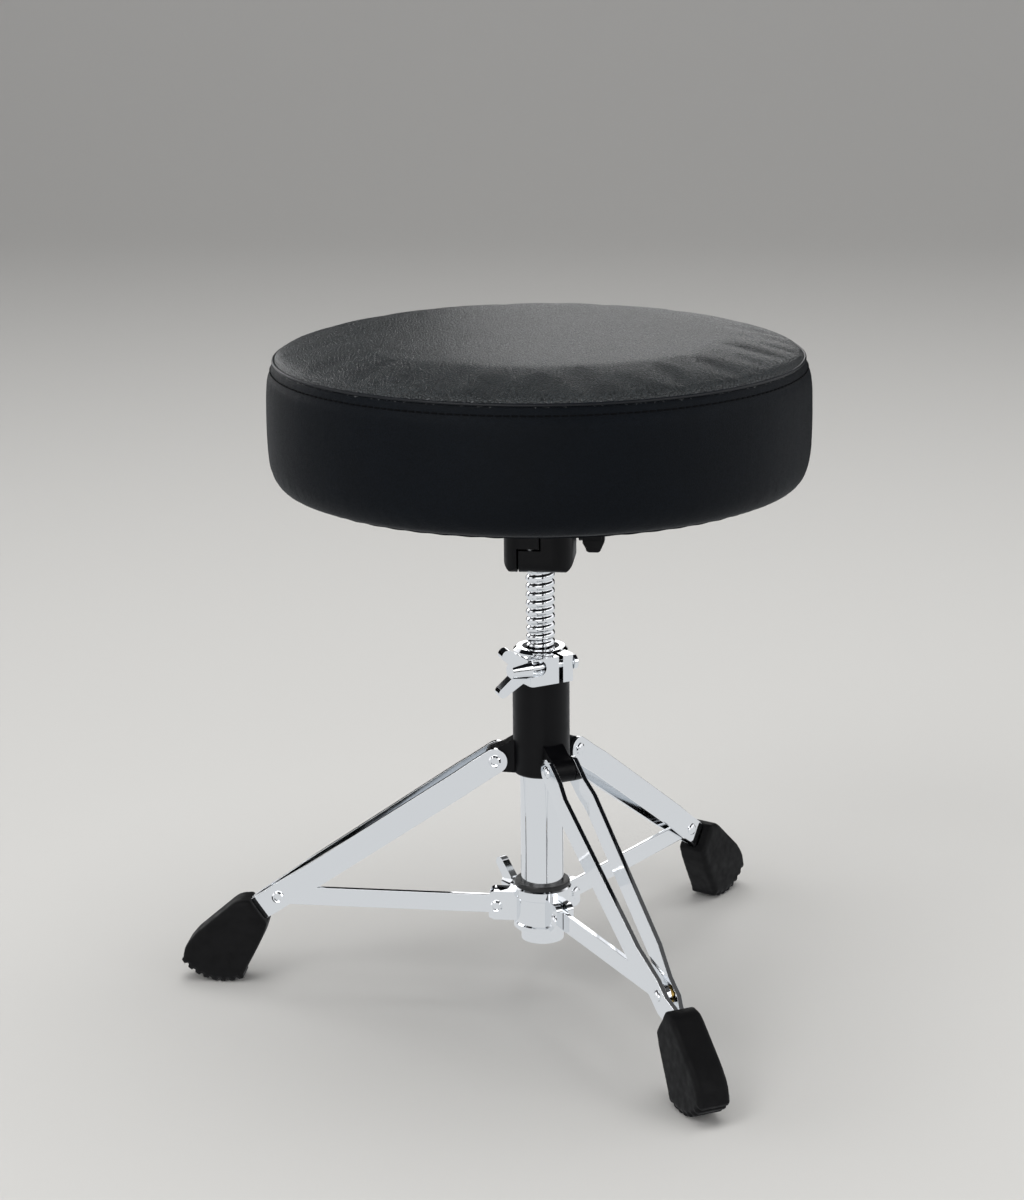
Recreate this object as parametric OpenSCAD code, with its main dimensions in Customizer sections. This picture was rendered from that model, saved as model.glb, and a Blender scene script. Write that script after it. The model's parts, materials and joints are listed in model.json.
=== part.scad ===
// Drum throne: a round padded seat on a screw post, carried by a tripod of
// double-bar legs that fold against the centre tube.
// Millimetres, +Z up. The origin is where the post's axis meets the floor.
// Leg 1 points along -X, the other two follow at thirds of a turn.

/* [Seat] */
// Diameter of the round seat
seat_d = 332; // [270:1:400]
// Height of the cushion's side, from its underside to the top seam
seat_side_h = 77; // [55:1:110]
// Rise of the crown above the top seam
crown_h = 14; // [8:1:30]
// How far the top seam lies inside the widest part of the cushion
seam_inset = 4.5; // [2:0.5:8]
// Radius of the cushion's rounded lower edge
seat_edge_r = 15; // [8:1:20]
// Thickness of the seat board
board_t = 15; // [10:1:20]
// Distance from the board's rim to the outside of the cushion
board_margin = 22; // [18:1:40]
// Diameter of the steel plate under the board
plate_d = 104; // [90:1:130]
// Thickness of the steel plate
plate_t = 4; // [3:0.5:6]
// Diameter of the circle of plate bolts
plate_pcd = 80; // [74:1:86]
// Diameter of the plate bolts
plate_bolt_d = 6; // [5:0.5:8]

/* [Seat bracket] */
// Metal beside the rod, across the bracket
bracket_side = 12.5; // [11:0.5:16]
// Metal in front of the rod, for the jaw's hinge
bracket_nose = 12; // [11:0.5:15]
// Metal behind the clamp bolt's head
bracket_heel = 2.6; // [2:0.2:5]
// Height of the bracket below the plate
bracket_h = 50.5; // [44:0.5:64]
// Height of the jaw's hinge knuckle
knuckle_h = 14.5; // [10:0.5:18]
// Diameter of the jaw's hinge pin
jaw_pin_d = 5; // [4:0.5:6]
// Diameter of the clamp bolt
clamp_bolt_d = 6; // [5:0.5:7]
// Slack between the jaw and the knob's neck
jaw_slack = 1.3; // [1:0.1:2]
// Span of the knob's two short wings
knob_span = 24; // [20:1:27]

/* [Screw post] */
// Outside diameter of the threaded rod
rod_d = 18; // [15:0.1:22]
// Length of the threaded rod
rod_len = 232; // [200:1:260]
// Distance from one thread to the next
thread_pitch = 5.4; // [3:0.1:7]
// Depth of the thread
thread_depth = 1.1; // [0.6:0.1:1.6]
// Bare rod between the lock clamp and the bracket
rod_show = 50.5; // [46:0.5:60]
// Wall of the nut that carries the rod
nut_wall = 2.5; // [2:0.1:4]
// Wall of the centre tube
tube_wall = 2; // [1.5:0.1:2.5]
// Length of the tube that shows below the collar
tube_end = 7.6; // [3:0.2:16]
// Height of the nut that carries the rod
nut_h = 22; // [16:1:26]

/* [Housing] */
// Wall of the leg housing round the tube
housing_wall = 4.3; // [3.4:0.1:7]
// Height of the leg housing
housing_h = 63.5; // [56:0.5:76]
// Depth of the tube's seat in the housing
tube_seat = 40; // [34:1:44]
// Height of the leg pivots above the housing's lower edge
pivot_rise = 8.5; // [7:0.5:12]
// Width of the lugs that carry the legs
lug_w = 13.4; // [11:0.2:16]
// Height of the lugs at the housing wall
lug_h = 21; // [17:0.5:26]

/* [Lock clamp] */
// Height of the lock clamp
clamp_h = 18; // [15:0.5:22]
// Wall of the clamp ring
clamp_wall = 5.3; // [4:0.1:7]
// Wall of the housing's slotted neck inside the clamp
neck_wall = 2.3; // [1.8:0.1:3]
// Width of the clamp's slit
clamp_slit = 3; // [2:0.2:4]
// Distance from the clamp ring to the bolt's axis
clamp_bolt_out = 4.5; // [4:0.1:7]
// Diameter of the lock and collar bolts
lock_bolt_d = 5; // [4:0.5:6]
// Direction of the lock clamp's ears, in degrees from +X
clamp_dir = -55; // [-90:1:-45]
// Span of the lock wing nut
wing_span = 32; // [26:1:34]

/* [Legs] */
// Distance of the leg pivots from the housing's wall
leg_pivot_out = 10.7; // [10:0.1:16]
// Length of a leg from its pivot to its brace
leg_reach = 170.5; // [140:0.5:200]
// Slope of the open legs below the horizontal
leg_slope = 34.2; // [30:0.1:37]
// Width of the leg bars
bar_w = 16; // [13:0.5:19]
// Thickness of the leg bars and braces
bar_t = 3; // [2.5:0.1:3.6]
// Extra spread of the two bars below their upper bend
bar_joggle = 1.5; // [0.5:0.1:2.5]
// Spread of each bar from the leg's middle where the lower taper starts
bar_mid = 7; // [6:0.1:8]
// Diameter of the rivets
rivet_d = 5; // [4:0.5:6]
// Diameter of the rivet heads
rivet_head_d = 8; // [7:0.5:10]

/* [Braces and collar] */
// Distance of the brace pivots from the collar's wall
brace_pivot_out = 12; // [11:0.5:15]
// How much lower the brace's collar end lies than its leg end
brace_drop = 2.1; // [0:0.1:6]
// Width of the braces
brace_w = 12; // [10:0.5:13]
// Height of the collar below its brace pivots
collar_below = 14; // [12:0.5:18]
// Height of the collar above its brace pivots
collar_above = 14.5; // [13:0.5:18]
// Thickness of the collar's ears
ear_t = 4; // [3:0.2:4.6]
// Wall of the collar's body round the tube
collar_wall = 3.5; // [3:0.1:6]
// Direction of the collar's wing screw, in degrees from +X
collar_dir = 135; // [115:1:140]
// Span of the collar wing screw
collar_wing_span = 32; // [26:1:34]

/* [Feet] */
// Radius of the foot's curved sole
sole_r = 32.7; // [27:0.1:39]
// Distance from the brace rivet to the centre of the sole's curve
sole_reach = 44.5; // [40:0.5:54]
// Thickness of the foot
foot_t = 21; // [17:0.5:25]
// Angle between the sole's ribs
rib_step = 10.5; // [8:0.5:14]
// Depth of the grooves between the ribs
rib_depth = 1.8; // [1:0.1:3]

/* [Clearances] */
// Radial clearance of a running fit
run_fit = 0.05; // [0.02:0.01:0.1]
// Gap between parts that pass each other
gap = 0.3; // [0.2:0.05:0.5]
// Gap between the bracket and its jaw
jaw_gap = 1.2; // [0.8:0.1:1.6]

/* [Hidden] */
$fn = 48;
eps = 0.01;

// Directions of the three legs
leg_dirs = [180, -60, 60];

// Radii that stack up from the rod
rod_r = rod_d / 2;
bore_r = rod_r + nut_wall;
tube_r = bore_r + tube_wall;
housing_r = tube_r + housing_wall;
collar_r = tube_r + collar_wall;
rod_hole_r = rod_r + gap + 0.1;
neck_r = rod_hole_r + neck_wall;
clamp_r = neck_r + clamp_wall;
clamp_bolt_r = clamp_r + clamp_bolt_out;
leg_pivot_r = housing_r + leg_pivot_out;
brace_pivot_r = collar_r + brace_pivot_out;
rivet_r = rivet_d / 2;
rivet_hole_r = rivet_r + run_fit;
head_r = rivet_head_d / 2;

// Heights that stack up from the floor
leg_pivot_z = sole_r + (leg_reach + sole_reach) * sin(leg_slope);
brace_end_z = leg_pivot_z - leg_reach * sin(leg_slope);
brace_end_r = leg_pivot_r + leg_reach * cos(leg_slope);
brace_pivot_z = brace_end_z - brace_drop;
brace_len = norm([brace_end_r - brace_pivot_r, brace_drop]);
brace_tilt = atan2(brace_drop, brace_end_r - brace_pivot_r);
housing_z0 = leg_pivot_z - pivot_rise;
housing_z1 = housing_z0 + housing_h;
collar_z0 = brace_pivot_z - collar_below;
collar_z1 = brace_pivot_z + collar_above;
tube_z0 = collar_z0 - tube_end;
tube_z1 = housing_z0 + tube_seat;
clamp_z0 = housing_z1 + gap;
clamp_z1 = clamp_z0 + clamp_h;
bracket_z0 = clamp_z1 + rod_show;
plate_z0 = bracket_z0 + bracket_h;
board_z0 = plate_z0 + plate_t;

// Cushion
seat_r = seat_d / 2;
seam_r = seat_r - seam_inset;

// Rod, guide and nut
rod_top_gap = 7;
rod_z1 = plate_z0 - rod_top_gap;
rod_z0 = rod_z1 - rod_len;
guide_h = 8;
guide_screw_r = 2.5;
nut_drop = 2;
nut_z1 = tube_z1 - nut_drop;

// Bars of a leg: distance of each bar's middle from the leg's middle plane
lug_half = lug_w / 2;
bar_top = lug_half + gap + bar_t / 2;
bar_upper = bar_top + bar_joggle;
washer_t = 1;
bar_brace = bar_t / 2 + washer_t + bar_t / 2;
bar_foot = bar_t / 2 + 0.5;
bar_tail = 36;
bar_end = leg_reach + bar_tail;
neck_gap = 16;
key_s = bar_end - 9;
key_r = 3;

// Where the bars bend, measured down the leg: the joggle below the pivot, then the
// taper to the brace rivet and the second step into the foot
joggle_s = [15.3, 27.5];
taper_run = 24;
flat_above = 6;
flat_below = 7;
step_run = 8;
taper_s = [
    leg_reach - flat_above - taper_run, leg_reach - flat_above,
    leg_reach + flat_below, leg_reach + flat_below + step_run
];

// Collar's ears and bush
ear_below = 9;
ear_above = 10;
bush_h = 3.6;
collar_bore_r = tube_r + 2 * run_fit;
flange_r = collar_r + 1.4;
ear_slot = bar_t / 2 + gap;
ear_out = ear_slot + ear_t;
ear_end_r = brace_pivot_r + 4.8;
screw_z = brace_pivot_z + 5.5;
boss_r = lock_bolt_d / 2 + 3;
boss_end = collar_r + 9;

// Lock clamp ears
ear_front = clamp_bolt_r + lock_bolt_d / 2 + 1.2;
ear_right = 9.5;
ear_left = 21;
ear_corner = 2.5;
clamp_bolt_z = (clamp_z0 + clamp_z1) / 2 + 2.2;
pocket_r = 6;

// Bracket, jaw and clamp bolt, in the seat's own axes
bolt_head_r = clamp_bolt_d * 0.95;
bracket_right = rod_r + bracket_side;
bracket_left = -bracket_right;
bracket_w = 2 * bracket_right;
bracket_front = -(rod_r + bracket_nose);
jaw_bolt_y = rod_r + 2 + bolt_head_r;
bracket_back = jaw_bolt_y + bolt_head_r + bracket_heel;
knuckle_z = bracket_z0 + knuckle_h;
knuckle_y = -rod_r - 1.6;
knuckle_x = [-11.5, 2.3];
jaw_pin_x = -4.6;
jaw_pin_y = (bracket_front + knuckle_y) / 2;
jaw_bolt_z = bracket_z0 + 18;
jaw_top_gap = 3;
jaw_pin_cover = 6;

// Small fasteners: bolt heads, rivet heads, tee nuts in the board, pin through the rod's nut
bolt_head_h = 4;
rivet_head_h = 1.6;
tee_barrel_r = plate_bolt_d / 2 + 1.2;
tee_barrel_h = 10;
tee_flange_r = plate_bolt_d / 2 + 6;
tee_flange_t = 1.5;
nut_pin_r = 1.5;

// Wings: height and hub radius of the lock nut's and the collar screw's, and their thickness
lock_wing_h = 21;
lock_hub_r = 6.4;
collar_wing_h = 17;
collar_hub_r = 5.2;
wing_t = 5.2;

// Places its children on the post's axis, turned to one direction
module facing(dir) {
    rotate([0, 0, dir]) children();
}

// Leg axes: X runs down the leg from its pivot, Y across the bars, Z over them
module on_leg(leg) {
    facing(leg_dirs[leg])
        translate([leg_pivot_r, 0, leg_pivot_z])
            rotate([0, leg_slope, 0]) children();
}

// Brace axes: X runs from the collar pivot to the leg pivot
module on_brace(leg) {
    facing(leg_dirs[leg])
        translate([brace_pivot_r, 0, brace_pivot_z])
            rotate([0, -brace_tilt, 0]) children();
}

module tube_shape(outer, inner, z0, z1) {
    translate([0, 0, z0]) difference() {
        cylinder(h = z1 - z0, r = outer);
        translate([0, 0, -1]) cylinder(h = z1 - z0 + 2, r = inner);
    }
}

// Height of the crown above the seam at a share of the seam's radius: the first
// power flattens the middle, the second rounds the shoulder
crown_flat = 4.5;
crown_round = 0.65;
function crown(share) = crown_h * pow(1 - pow(share, crown_flat), crown_round);

function arc_points(cx, cy, r, from, to, steps) = [
    for (i = [0:steps])
        let (a = from + (to - from) * i / steps)
            [cx + r * cos(a), cy + r * sin(a)]
];

// ---- Seat ----

module seat_pad() {
    board_r = seat_r - board_margin;
    edge = arc_points(seat_r - seat_edge_r, seat_edge_r, seat_edge_r, -90, 0, 6);
    side = [
        [seat_r, seat_side_h * 0.5],
        [seat_r - seam_inset * 0.35, seat_side_h * 0.8]
    ];
    top = [
        for (i = [0:9])
            let (share = 1 - pow(i / 9, 1.6))
                [seam_r * share, seat_side_h + crown(share)]
    ];
    color("#15181f") translate([0, 0, board_z0])
        rotate_extrude($fn = 96)
            polygon(concat([[0, board_t], [board_r, board_t], [board_r, 0]], edge, side, top));
}

module at_plate_bolts() {
    for (i = [0:3])
        rotate([0, 0, 45 + 90 * i]) translate([plate_pcd / 2, 0, 0]) children();
}

module seat_board() {
    color("#c8a878") difference() {
        translate([0, 0, board_z0]) cylinder(h = board_t, r = seat_r - board_margin, $fn = 96);
        at_plate_bolts() {
            translate([0, 0, board_z0 - 1]) cylinder(h = board_t + 2, r = tee_barrel_r);
            translate([0, 0, board_z0 + board_t - tee_flange_t])
                cylinder(h = tee_flange_t + 1, r = tee_flange_r);
        }
    }
}

module tee_nuts() {
    color("silver") at_plate_bolts() difference() {
        union() {
            translate([0, 0, board_z0 + board_t - tee_barrel_h])
                cylinder(h = tee_barrel_h, r = tee_barrel_r);
            translate([0, 0, board_z0 + board_t - tee_flange_t])
                cylinder(h = tee_flange_t, r = tee_flange_r);
        }
        translate([0, 0, board_z0]) cylinder(h = board_t + 1, r = plate_bolt_d / 2);
    }
}

module seat_plate() {
    color("#1a1a1a") difference() {
        translate([0, 0, plate_z0]) cylinder(h = plate_t, d = plate_d, $fn = 96);
        at_plate_bolts()
            translate([0, 0, plate_z0 - 1]) cylinder(h = plate_t + 2, r = plate_bolt_d / 2 + gap);
    }
}

module plate_bolts() {
    color("silver") at_plate_bolts() {
        translate([0, 0, plate_z0 - bolt_head_h])
            cylinder(h = bolt_head_h, r = plate_bolt_d * 0.95, $fn = 6);
        translate([0, 0, plate_z0 - eps])
            cylinder(h = plate_t + board_t - tee_flange_t, r = plate_bolt_d / 2);
    }
}

// ---- Seat bracket ----

// Outside of the whole bracket, with a rounded foot
module bracket_shape() {
    corner = 13;
    foot_r = 7;
    intersection() {
        translate([0, 0, bracket_z0]) linear_extrude(height = bracket_h)
            rounded_rect(bracket_left, bracket_right, bracket_front, bracket_back, corner);
        rotate([90, 0, 0]) linear_extrude(height = 4 * bracket_back, center = true)
            rounded_foot(bracket_left, bracket_right, foot_r);
        rotate([90, 0, 90]) linear_extrude(height = bracket_w + 2, center = true)
            rounded_foot(bracket_front, bracket_back, foot_r);
    }
}

// Rectangle with four equal round corners
module rounded_rect(x0, x1, y0, y1, r) {
    for (x = [x0 + r, x1 - r], y = [y0 + r, y1 - r])
        translate([x, y]) circle(r = r);
    translate([x0 + r, y0]) square([x1 - x0 - 2 * r, y1 - y0]);
    translate([x0, y0 + r]) square([x1 - x0, y1 - y0 - 2 * r]);
}

// Side view of the bracket: square at the plate, rounded at the foot
module rounded_foot(x0, x1, r) {
    for (x = [x0 + r, x1 - r])
        translate([x, bracket_z0 + r]) circle(r = r);
    translate([x0 + r, bracket_z0]) square([x1 - x0 - 2 * r, bracket_h]);
    translate([x0, bracket_z0 + r]) square([x1 - x0, bracket_h - r]);
}

// Space that the jaw takes from the bracket, grown by a margin on its parting faces
module jaw_space(margin) {
    far = 60;
    top = plate_z0 - jaw_top_gap + margin;
    // Right half, behind the hinge
    translate([-margin, knuckle_y - margin, bracket_z0 - 5])
        cube([far, far, top - bracket_z0 + 5]);
    // Upper front, right of the body's knuckle
    translate([knuckle_x[1] - margin, bracket_front - 5, bracket_z0 - 5])
        cube([far, far, top - bracket_z0 + 5]);
    // Jaw's knuckle at the lower front
    translate([knuckle_x[0] - margin, bracket_front - 5, bracket_z0 - 5])
        cube([far, knuckle_y - bracket_front + 5 + margin, knuckle_h + 5 + margin]);
}

module rod_bore(r) {
    translate([0, 0, bracket_z0 - 1]) cylinder(h = rod_z1 + 1 - bracket_z0 + 1, r = r);
}

module bracket_body() {
    color("#1c1c1e") difference() {
        bracket_shape();
        jaw_space(jaw_gap);
        rod_bore(rod_r + run_fit);
        translate([jaw_pin_x, jaw_pin_y, bracket_z0 - 1])
            cylinder(h = bracket_h - jaw_pin_cover + 1, d = jaw_pin_d);
        // Hole and head pocket of the clamp bolt
        translate([bracket_left - 1, jaw_bolt_y, jaw_bolt_z]) rotate([0, 90, 0]) {
            cylinder(h = bracket_w + 2, d = clamp_bolt_d);
            cylinder(h = 1 + 1 + bolt_head_h, r = bolt_head_r);
        }
    }
}

module jaw_pin() {
    color("silver") translate([jaw_pin_x, jaw_pin_y, bracket_z0 + 0.6])
        cylinder(h = bracket_h - jaw_pin_cover - 0.6, d = jaw_pin_d);
}

module clamp_jaw() {
    color("#1c1c1e") difference() {
        intersection() {
            bracket_shape();
            jaw_space(0);
        }
        rod_bore(rod_hole_r);
        translate([jaw_pin_x, jaw_pin_y, bracket_z0 - 1])
            cylinder(h = bracket_h, r = jaw_pin_d / 2 + run_fit);
        translate([-1, jaw_bolt_y, jaw_bolt_z]) rotate([0, 90, 0])
            cylinder(h = bracket_w, r = clamp_bolt_d / 2 + jaw_gap);
    }
}

// Head sunk in the body on the left, thread into the knob on the right
module jaw_bolt() {
    color("silver") translate([bracket_left + 1, jaw_bolt_y, jaw_bolt_z]) rotate([0, 90, 0]) {
        cylinder(h = bolt_head_h, r = bolt_head_r, $fn = 6);
        translate([0, 0, 1]) cylinder(h = bracket_w + jaw_slack + 8, d = clamp_bolt_d);
    }
}

// Wing nut shape: Z runs away from the clamped face, the wings lie in the XZ plane
module wing_shape(span, height, hub_r, thick, bore) {
    tip_r = span * 0.11;
    tip = [span / 2 - tip_r, height - tip_r];
    difference() {
        union() {
            cylinder(h = height * 0.62, r1 = hub_r, r2 = hub_r * 0.72);
            for (side = [0, 1]) mirror([side, 0, 0])
                rotate([90, 0, 0]) linear_extrude(height = thick, center = true) {
                    polygon([
                        [0, height * 0.12],
                        [hub_r * 1.1, height * 0.12],
                        [tip[0] + tip_r * 0.9, tip[1] - tip_r * 0.45],
                        [tip[0] - tip_r * 0.7, tip[1] + tip_r * 0.7],
                        [hub_r * 0.6, height * 0.62],
                        [0, height * 0.62]
                    ]);
                    translate(tip) circle(r = tip_r);
                }
        }
        translate([0, 0, -1]) cylinder(h = height * 0.62 - 2 + 1, r = bore);
    }
}

module bracket_knob() {
    neck = 2.4;
    length = 13.6;
    tip = 9.5;
    shoulder = 2;
    corner = 2.4;
    hub_r = clamp_bolt_d / 2 + 3;
    reach = knob_span / 2;
    low = neck + shoulder + corner;
    high = neck + shoulder + tip - corner;
    color("#1c1c1e") translate([bracket_right + jaw_slack, jaw_bolt_y, jaw_bolt_z])
        rotate([0, 90, 0]) difference() {
            union() {
                cylinder(h = neck + 1, r = hub_r - 0.8);
                translate([0, 0, neck]) cylinder(h = length - 1.5, r = hub_r);
                for (side = [0, 1]) mirror([side, 0, 0])
                    rotate([90, 0, 0]) linear_extrude(height = 8, center = true) {
                        for (z = [low, high]) translate([reach - corner, z]) circle(r = corner);
                        polygon([
                            [0, neck], [hub_r, neck], [reach - corner, neck + shoulder],
                            [reach, low], [reach, high],
                            [reach - corner * 0.5, high + corner * 0.866],
                            [hub_r - 0.6, neck + length], [0, neck + length]
                        ]);
                    }
            }
            translate([0, 0, -1]) cylinder(h = neck + 9, r = clamp_bolt_d / 2 + run_fit);
        }
}

// ---- Screw post ----

// Thread drawn as rings; the lead is in the joint that couples turn and rise
module threaded_rod() {
    turns = floor((rod_len - 4) / thread_pitch);
    crest = thread_pitch * 0.22;
    root = rod_r - thread_depth;
    profile = [
        for (i = [0:turns - 1])
            let (z = 2 + i * thread_pitch)
                each [
                    [root, z],
                    [rod_r, z + thread_pitch / 2 - crest],
                    [rod_r, z + thread_pitch / 2 + crest]
                ]
    ];
    color("silver") translate([0, 0, rod_z0]) difference() {
        rotate_extrude() polygon(concat(
            [[0, 0], [root - 1, 0], [root, 1]], profile,
            [[root, 2 + turns * thread_pitch], [root, rod_len - 1], [root - 1, rod_len], [0, rod_len]]
        ));
        translate([0, 0, -1]) cylinder(h = 19, r = guide_screw_r);
    }
}

module rod_end_screw() {
    color("silver") {
        translate([0, 0, rod_z0 - guide_h - 0.2 - 3]) cylinder(h = 3, r = 6);
        translate([0, 0, rod_z0 - guide_h - 1]) cylinder(h = guide_h + 16, r = guide_screw_r);
    }
}

module rod_guide() {
    color("white") tube_shape(bore_r - run_fit, guide_screw_r + run_fit,
        rod_z0 - guide_h - 0.1, rod_z0 - 0.1);
}

// ---- Root: housing, tube and lock clamp ----

// Side outline of a lug, from the post's axis outward
module lug_outline() {
    nose = bar_w / 2 - 0.5;
    translate([leg_pivot_r, leg_pivot_z]) circle(r = nose);
    polygon([
        [0, housing_z0 - 0.5],
        [leg_pivot_r, leg_pivot_z - nose],
        [leg_pivot_r + nose * 0.5, leg_pivot_z + nose * 0.866],
        [leg_pivot_r - 4, leg_pivot_z + nose + 1.5],
        [housing_r + 1, housing_z0 + lug_h],
        [0, housing_z0 + lug_h + 4]
    ]);
}

module housing() {
    color("#1b1b1d") difference() {
        union() {
            translate([0, 0, housing_z0]) rotate_extrude() polygon([
                [0, 0], [housing_r - 1, 0], [housing_r, 1],
                [housing_r, housing_h - 1.5], [housing_r - 1.5, housing_h], [0, housing_h]
            ]);
            translate([0, 0, housing_z1 - eps])
                cylinder(h = clamp_h - 1.6, r = neck_r - run_fit);
            for (dir = leg_dirs) facing(dir)
                rotate([90, 0, 0]) linear_extrude(height = lug_w, center = true) lug_outline();
        }
        translate([0, 0, housing_z0 - 2]) cylinder(h = tube_seat + 2, r = tube_r);
        translate([0, 0, housing_z0]) cylinder(h = housing_h + clamp_h + 5, r = rod_hole_r);
        for (dir = leg_dirs) facing(dir)
            translate([leg_pivot_r, 0, leg_pivot_z]) rotate([90, 0, 0])
                cylinder(h = lug_w + 2, r = rivet_r, center = true);
        // Slits that let the neck close on the rod
        for (turn = [0:120:240]) facing(clamp_dir + turn)
            translate([0, -1, housing_z1 - 3]) cube([neck_r + 0.8, 2, clamp_h + 5]);
        at_nut_pin() cylinder(h = housing_r, r = nut_pin_r);
    }
}

// Radial pin, at the back, that holds nut, tube and housing together
module at_nut_pin() {
    facing(90) translate([rod_r + 0.8, 0, nut_z1 - nut_h / 2]) rotate([0, 90, 0]) children();
}

module nut_pin() {
    color("#1b1b1d") at_nut_pin() cylinder(h = housing_r - rod_r - 1.2, r = nut_pin_r);
}

// Flush pins inside the lugs: the legs' upper rivet heads ride on the bars
module leg_pivot_pins() {
    color("silver") for (dir = leg_dirs) facing(dir)
        translate([leg_pivot_r, 0, leg_pivot_z]) rotate([90, 0, 0])
            cylinder(h = lug_w, r = rivet_r, center = true);
}

module height_nut() {
    color("#b59a4a") difference() {
        tube_shape(bore_r, rod_r + run_fit, nut_z1 - nut_h, nut_z1);
        at_nut_pin() cylinder(h = housing_r, r = nut_pin_r);
    }
}

module centre_tube() {
    color("gainsboro") difference() {
        tube_shape(tube_r, bore_r, tube_z0, tube_z1);
        at_nut_pin() cylinder(h = housing_r, r = nut_pin_r);
    }
}

module tube_plug() {
    color("#1b1b1d") {
        translate([0, 0, tube_z0 + 0.5]) cylinder(h = 2.5, r = bore_r);
        translate([0, 0, tube_z0 + 0.5]) rotate_extrude()
            polygon([[0, -0.9], [bore_r - 1.5, -0.9], [bore_r, 0.5], [bore_r, 1], [0, 1]]);
    }
}

// Ring with two ears and a slit between them. X runs out through the ears, the
// bolt runs along Y, and its wing nut sits at the left ear's end, towards -Y
module lock_clamp() {
    color("gainsboro") facing(clamp_dir) difference() {
        union() {
            translate([0, 0, clamp_z0]) rotate_extrude() polygon([
                [neck_r, 0], [clamp_r - 0.8, 0], [clamp_r, 0.8],
                [clamp_r, clamp_h - 2], [clamp_r - 2, clamp_h], [neck_r, clamp_h]
            ]);
            translate([0, 0, clamp_z0]) linear_extrude(height = clamp_h - 1) {
                rounded_rect(neck_r + 0.5, ear_front, 0, ear_right, ear_corner);
                left_ear_outline();
            }
        }
        translate([0, 0, clamp_z0 - 1]) cylinder(h = clamp_h + 2, r = neck_r);
        translate([0, -clamp_slit / 2, clamp_z0 - 1]) cube([ear_front + 1, clamp_slit, clamp_h + 2]);
        translate([clamp_bolt_r, 0, clamp_bolt_z]) rotate([90, 0, 0])
            cylinder(h = 80, r = lock_bolt_d / 2 + 0.1, center = true);
        // Round pocket that frames the bolt in front of the left ear
        translate([clamp_bolt_r, -ear_left * 0.72, clamp_bolt_z]) {
            sphere(r = pocket_r);
            rotate([90, 0, 0]) cylinder(h = ear_left, r = pocket_r);
        }
    }
}

// Left ear, long enough to hold the nut's pocket; its outer end is narrower
module left_ear_outline() {
    relief = 8;
    difference() {
        rounded_rect(neck_r - 1.5, ear_front, -ear_left, 0, ear_corner);
        translate([0, -ear_left - 1]) square([clamp_bolt_r - pocket_r - 1, relief + 2]);
    }
}

module lock_bolt() {
    color("silver") facing(clamp_dir)
        translate([clamp_bolt_r, ear_right, clamp_bolt_z]) rotate([90, 0, 0]) {
            translate([0, 0, -2.4]) cylinder(h = 2.4, r = lock_bolt_d * 0.9);
            translate([0, 0, -eps]) cylinder(h = ear_right + ear_left + 10, r = lock_bolt_d / 2);
        }
}

module lock_wing_nut() {
    color("gainsboro") facing(clamp_dir)
        translate([clamp_bolt_r, -ear_left, clamp_bolt_z]) rotate([90, 0, 0]) rotate([0, 0, 80])
            wing_shape(wing_span, lock_wing_h, lock_hub_r, wing_t, lock_bolt_d / 2 + run_fit);
}

// ---- Collar ----

module ear_outline() {
    r = 3.5;
    x1 = ear_end_r - r;
    translate([x1, brace_pivot_z - ear_below + 1]) circle(r = 1);
    translate([x1, brace_pivot_z + ear_above - r]) circle(r = r);
    polygon([
        [collar_bore_r + 1, brace_pivot_z - ear_below],
        [x1, brace_pivot_z - ear_below],
        [ear_end_r, brace_pivot_z - ear_below + 1.5],
        [ear_end_r, brace_pivot_z + ear_above - r],
        [x1, brace_pivot_z + ear_above],
        [collar_bore_r + 1, brace_pivot_z + ear_above]
    ]);
}

// Axes of the collar's screw: Z runs outward from the post's axis
module on_screw() {
    facing(collar_dir) translate([0, 0, screw_z]) rotate([0, 90, 0]) children();
}

module lower_collar() {
    lower = collar_z0;
    upper = collar_z1;
    slot_r = brace_pivot_r - brace_w / 2 - 0.5;
    color("gainsboro") difference() {
        union() {
            rotate_extrude() polygon([
                [collar_bore_r, lower], [collar_r + 0.2, lower], [collar_r + 1.2, lower + 1],
                [collar_r + 1.2, lower + 4], [collar_r, lower + 4.8],
                [collar_r, upper - 7.5], [flange_r, upper - 6.5], [flange_r, upper - 1],
                [flange_r - 1, upper], [collar_bore_r, upper]
            ]);
            for (dir = leg_dirs) facing(dir)
                rotate([90, 0, 0]) linear_extrude(height = 2 * ear_out, center = true) ear_outline();
            on_screw() translate([0, 0, collar_bore_r + 1])
                cylinder(h = boss_end - collar_bore_r - 1, r = boss_r);
        }
        translate([0, 0, lower - 1]) cylinder(h = upper - lower + 2, r = collar_bore_r);
        // Seat of the bush
        translate([0, 0, upper - 1]) cylinder(h = 2, r = collar_r - 0.4);
        // Slots that the braces swing in
        for (dir = leg_dirs) facing(dir) {
            translate([slot_r, -ear_slot, lower - 1]) cube([30, 2 * ear_slot, upper - lower + 2]);
            translate([brace_pivot_r, 0, brace_pivot_z]) rotate([90, 0, 0])
                cylinder(h = 2 * ear_out + 2, r = rivet_r, center = true);
        }
        on_screw() cylinder(h = 2 * boss_end, r = lock_bolt_d / 2 + run_fit);
    }
}

module collar_bush() {
    color("#141414") translate([0, 0, collar_z1 - 1]) rotate_extrude() polygon([
        [collar_bore_r, 0], [collar_r - 0.4, 0], [collar_r - 0.4, 1], [collar_r + 0.6, 1],
        [collar_r + 0.6, bush_h - 0.4], [collar_r, bush_h + 0.4], [collar_bore_r, bush_h + 0.4]
    ]);
}

// Screw that presses on the tube, turned with the wing it is moulded into
module collar_screw() {
    color("silver") on_screw() translate([0, 0, tube_r + gap])
        cylinder(h = boss_end + 6 - tube_r - gap, r = lock_bolt_d / 2);
}

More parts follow.
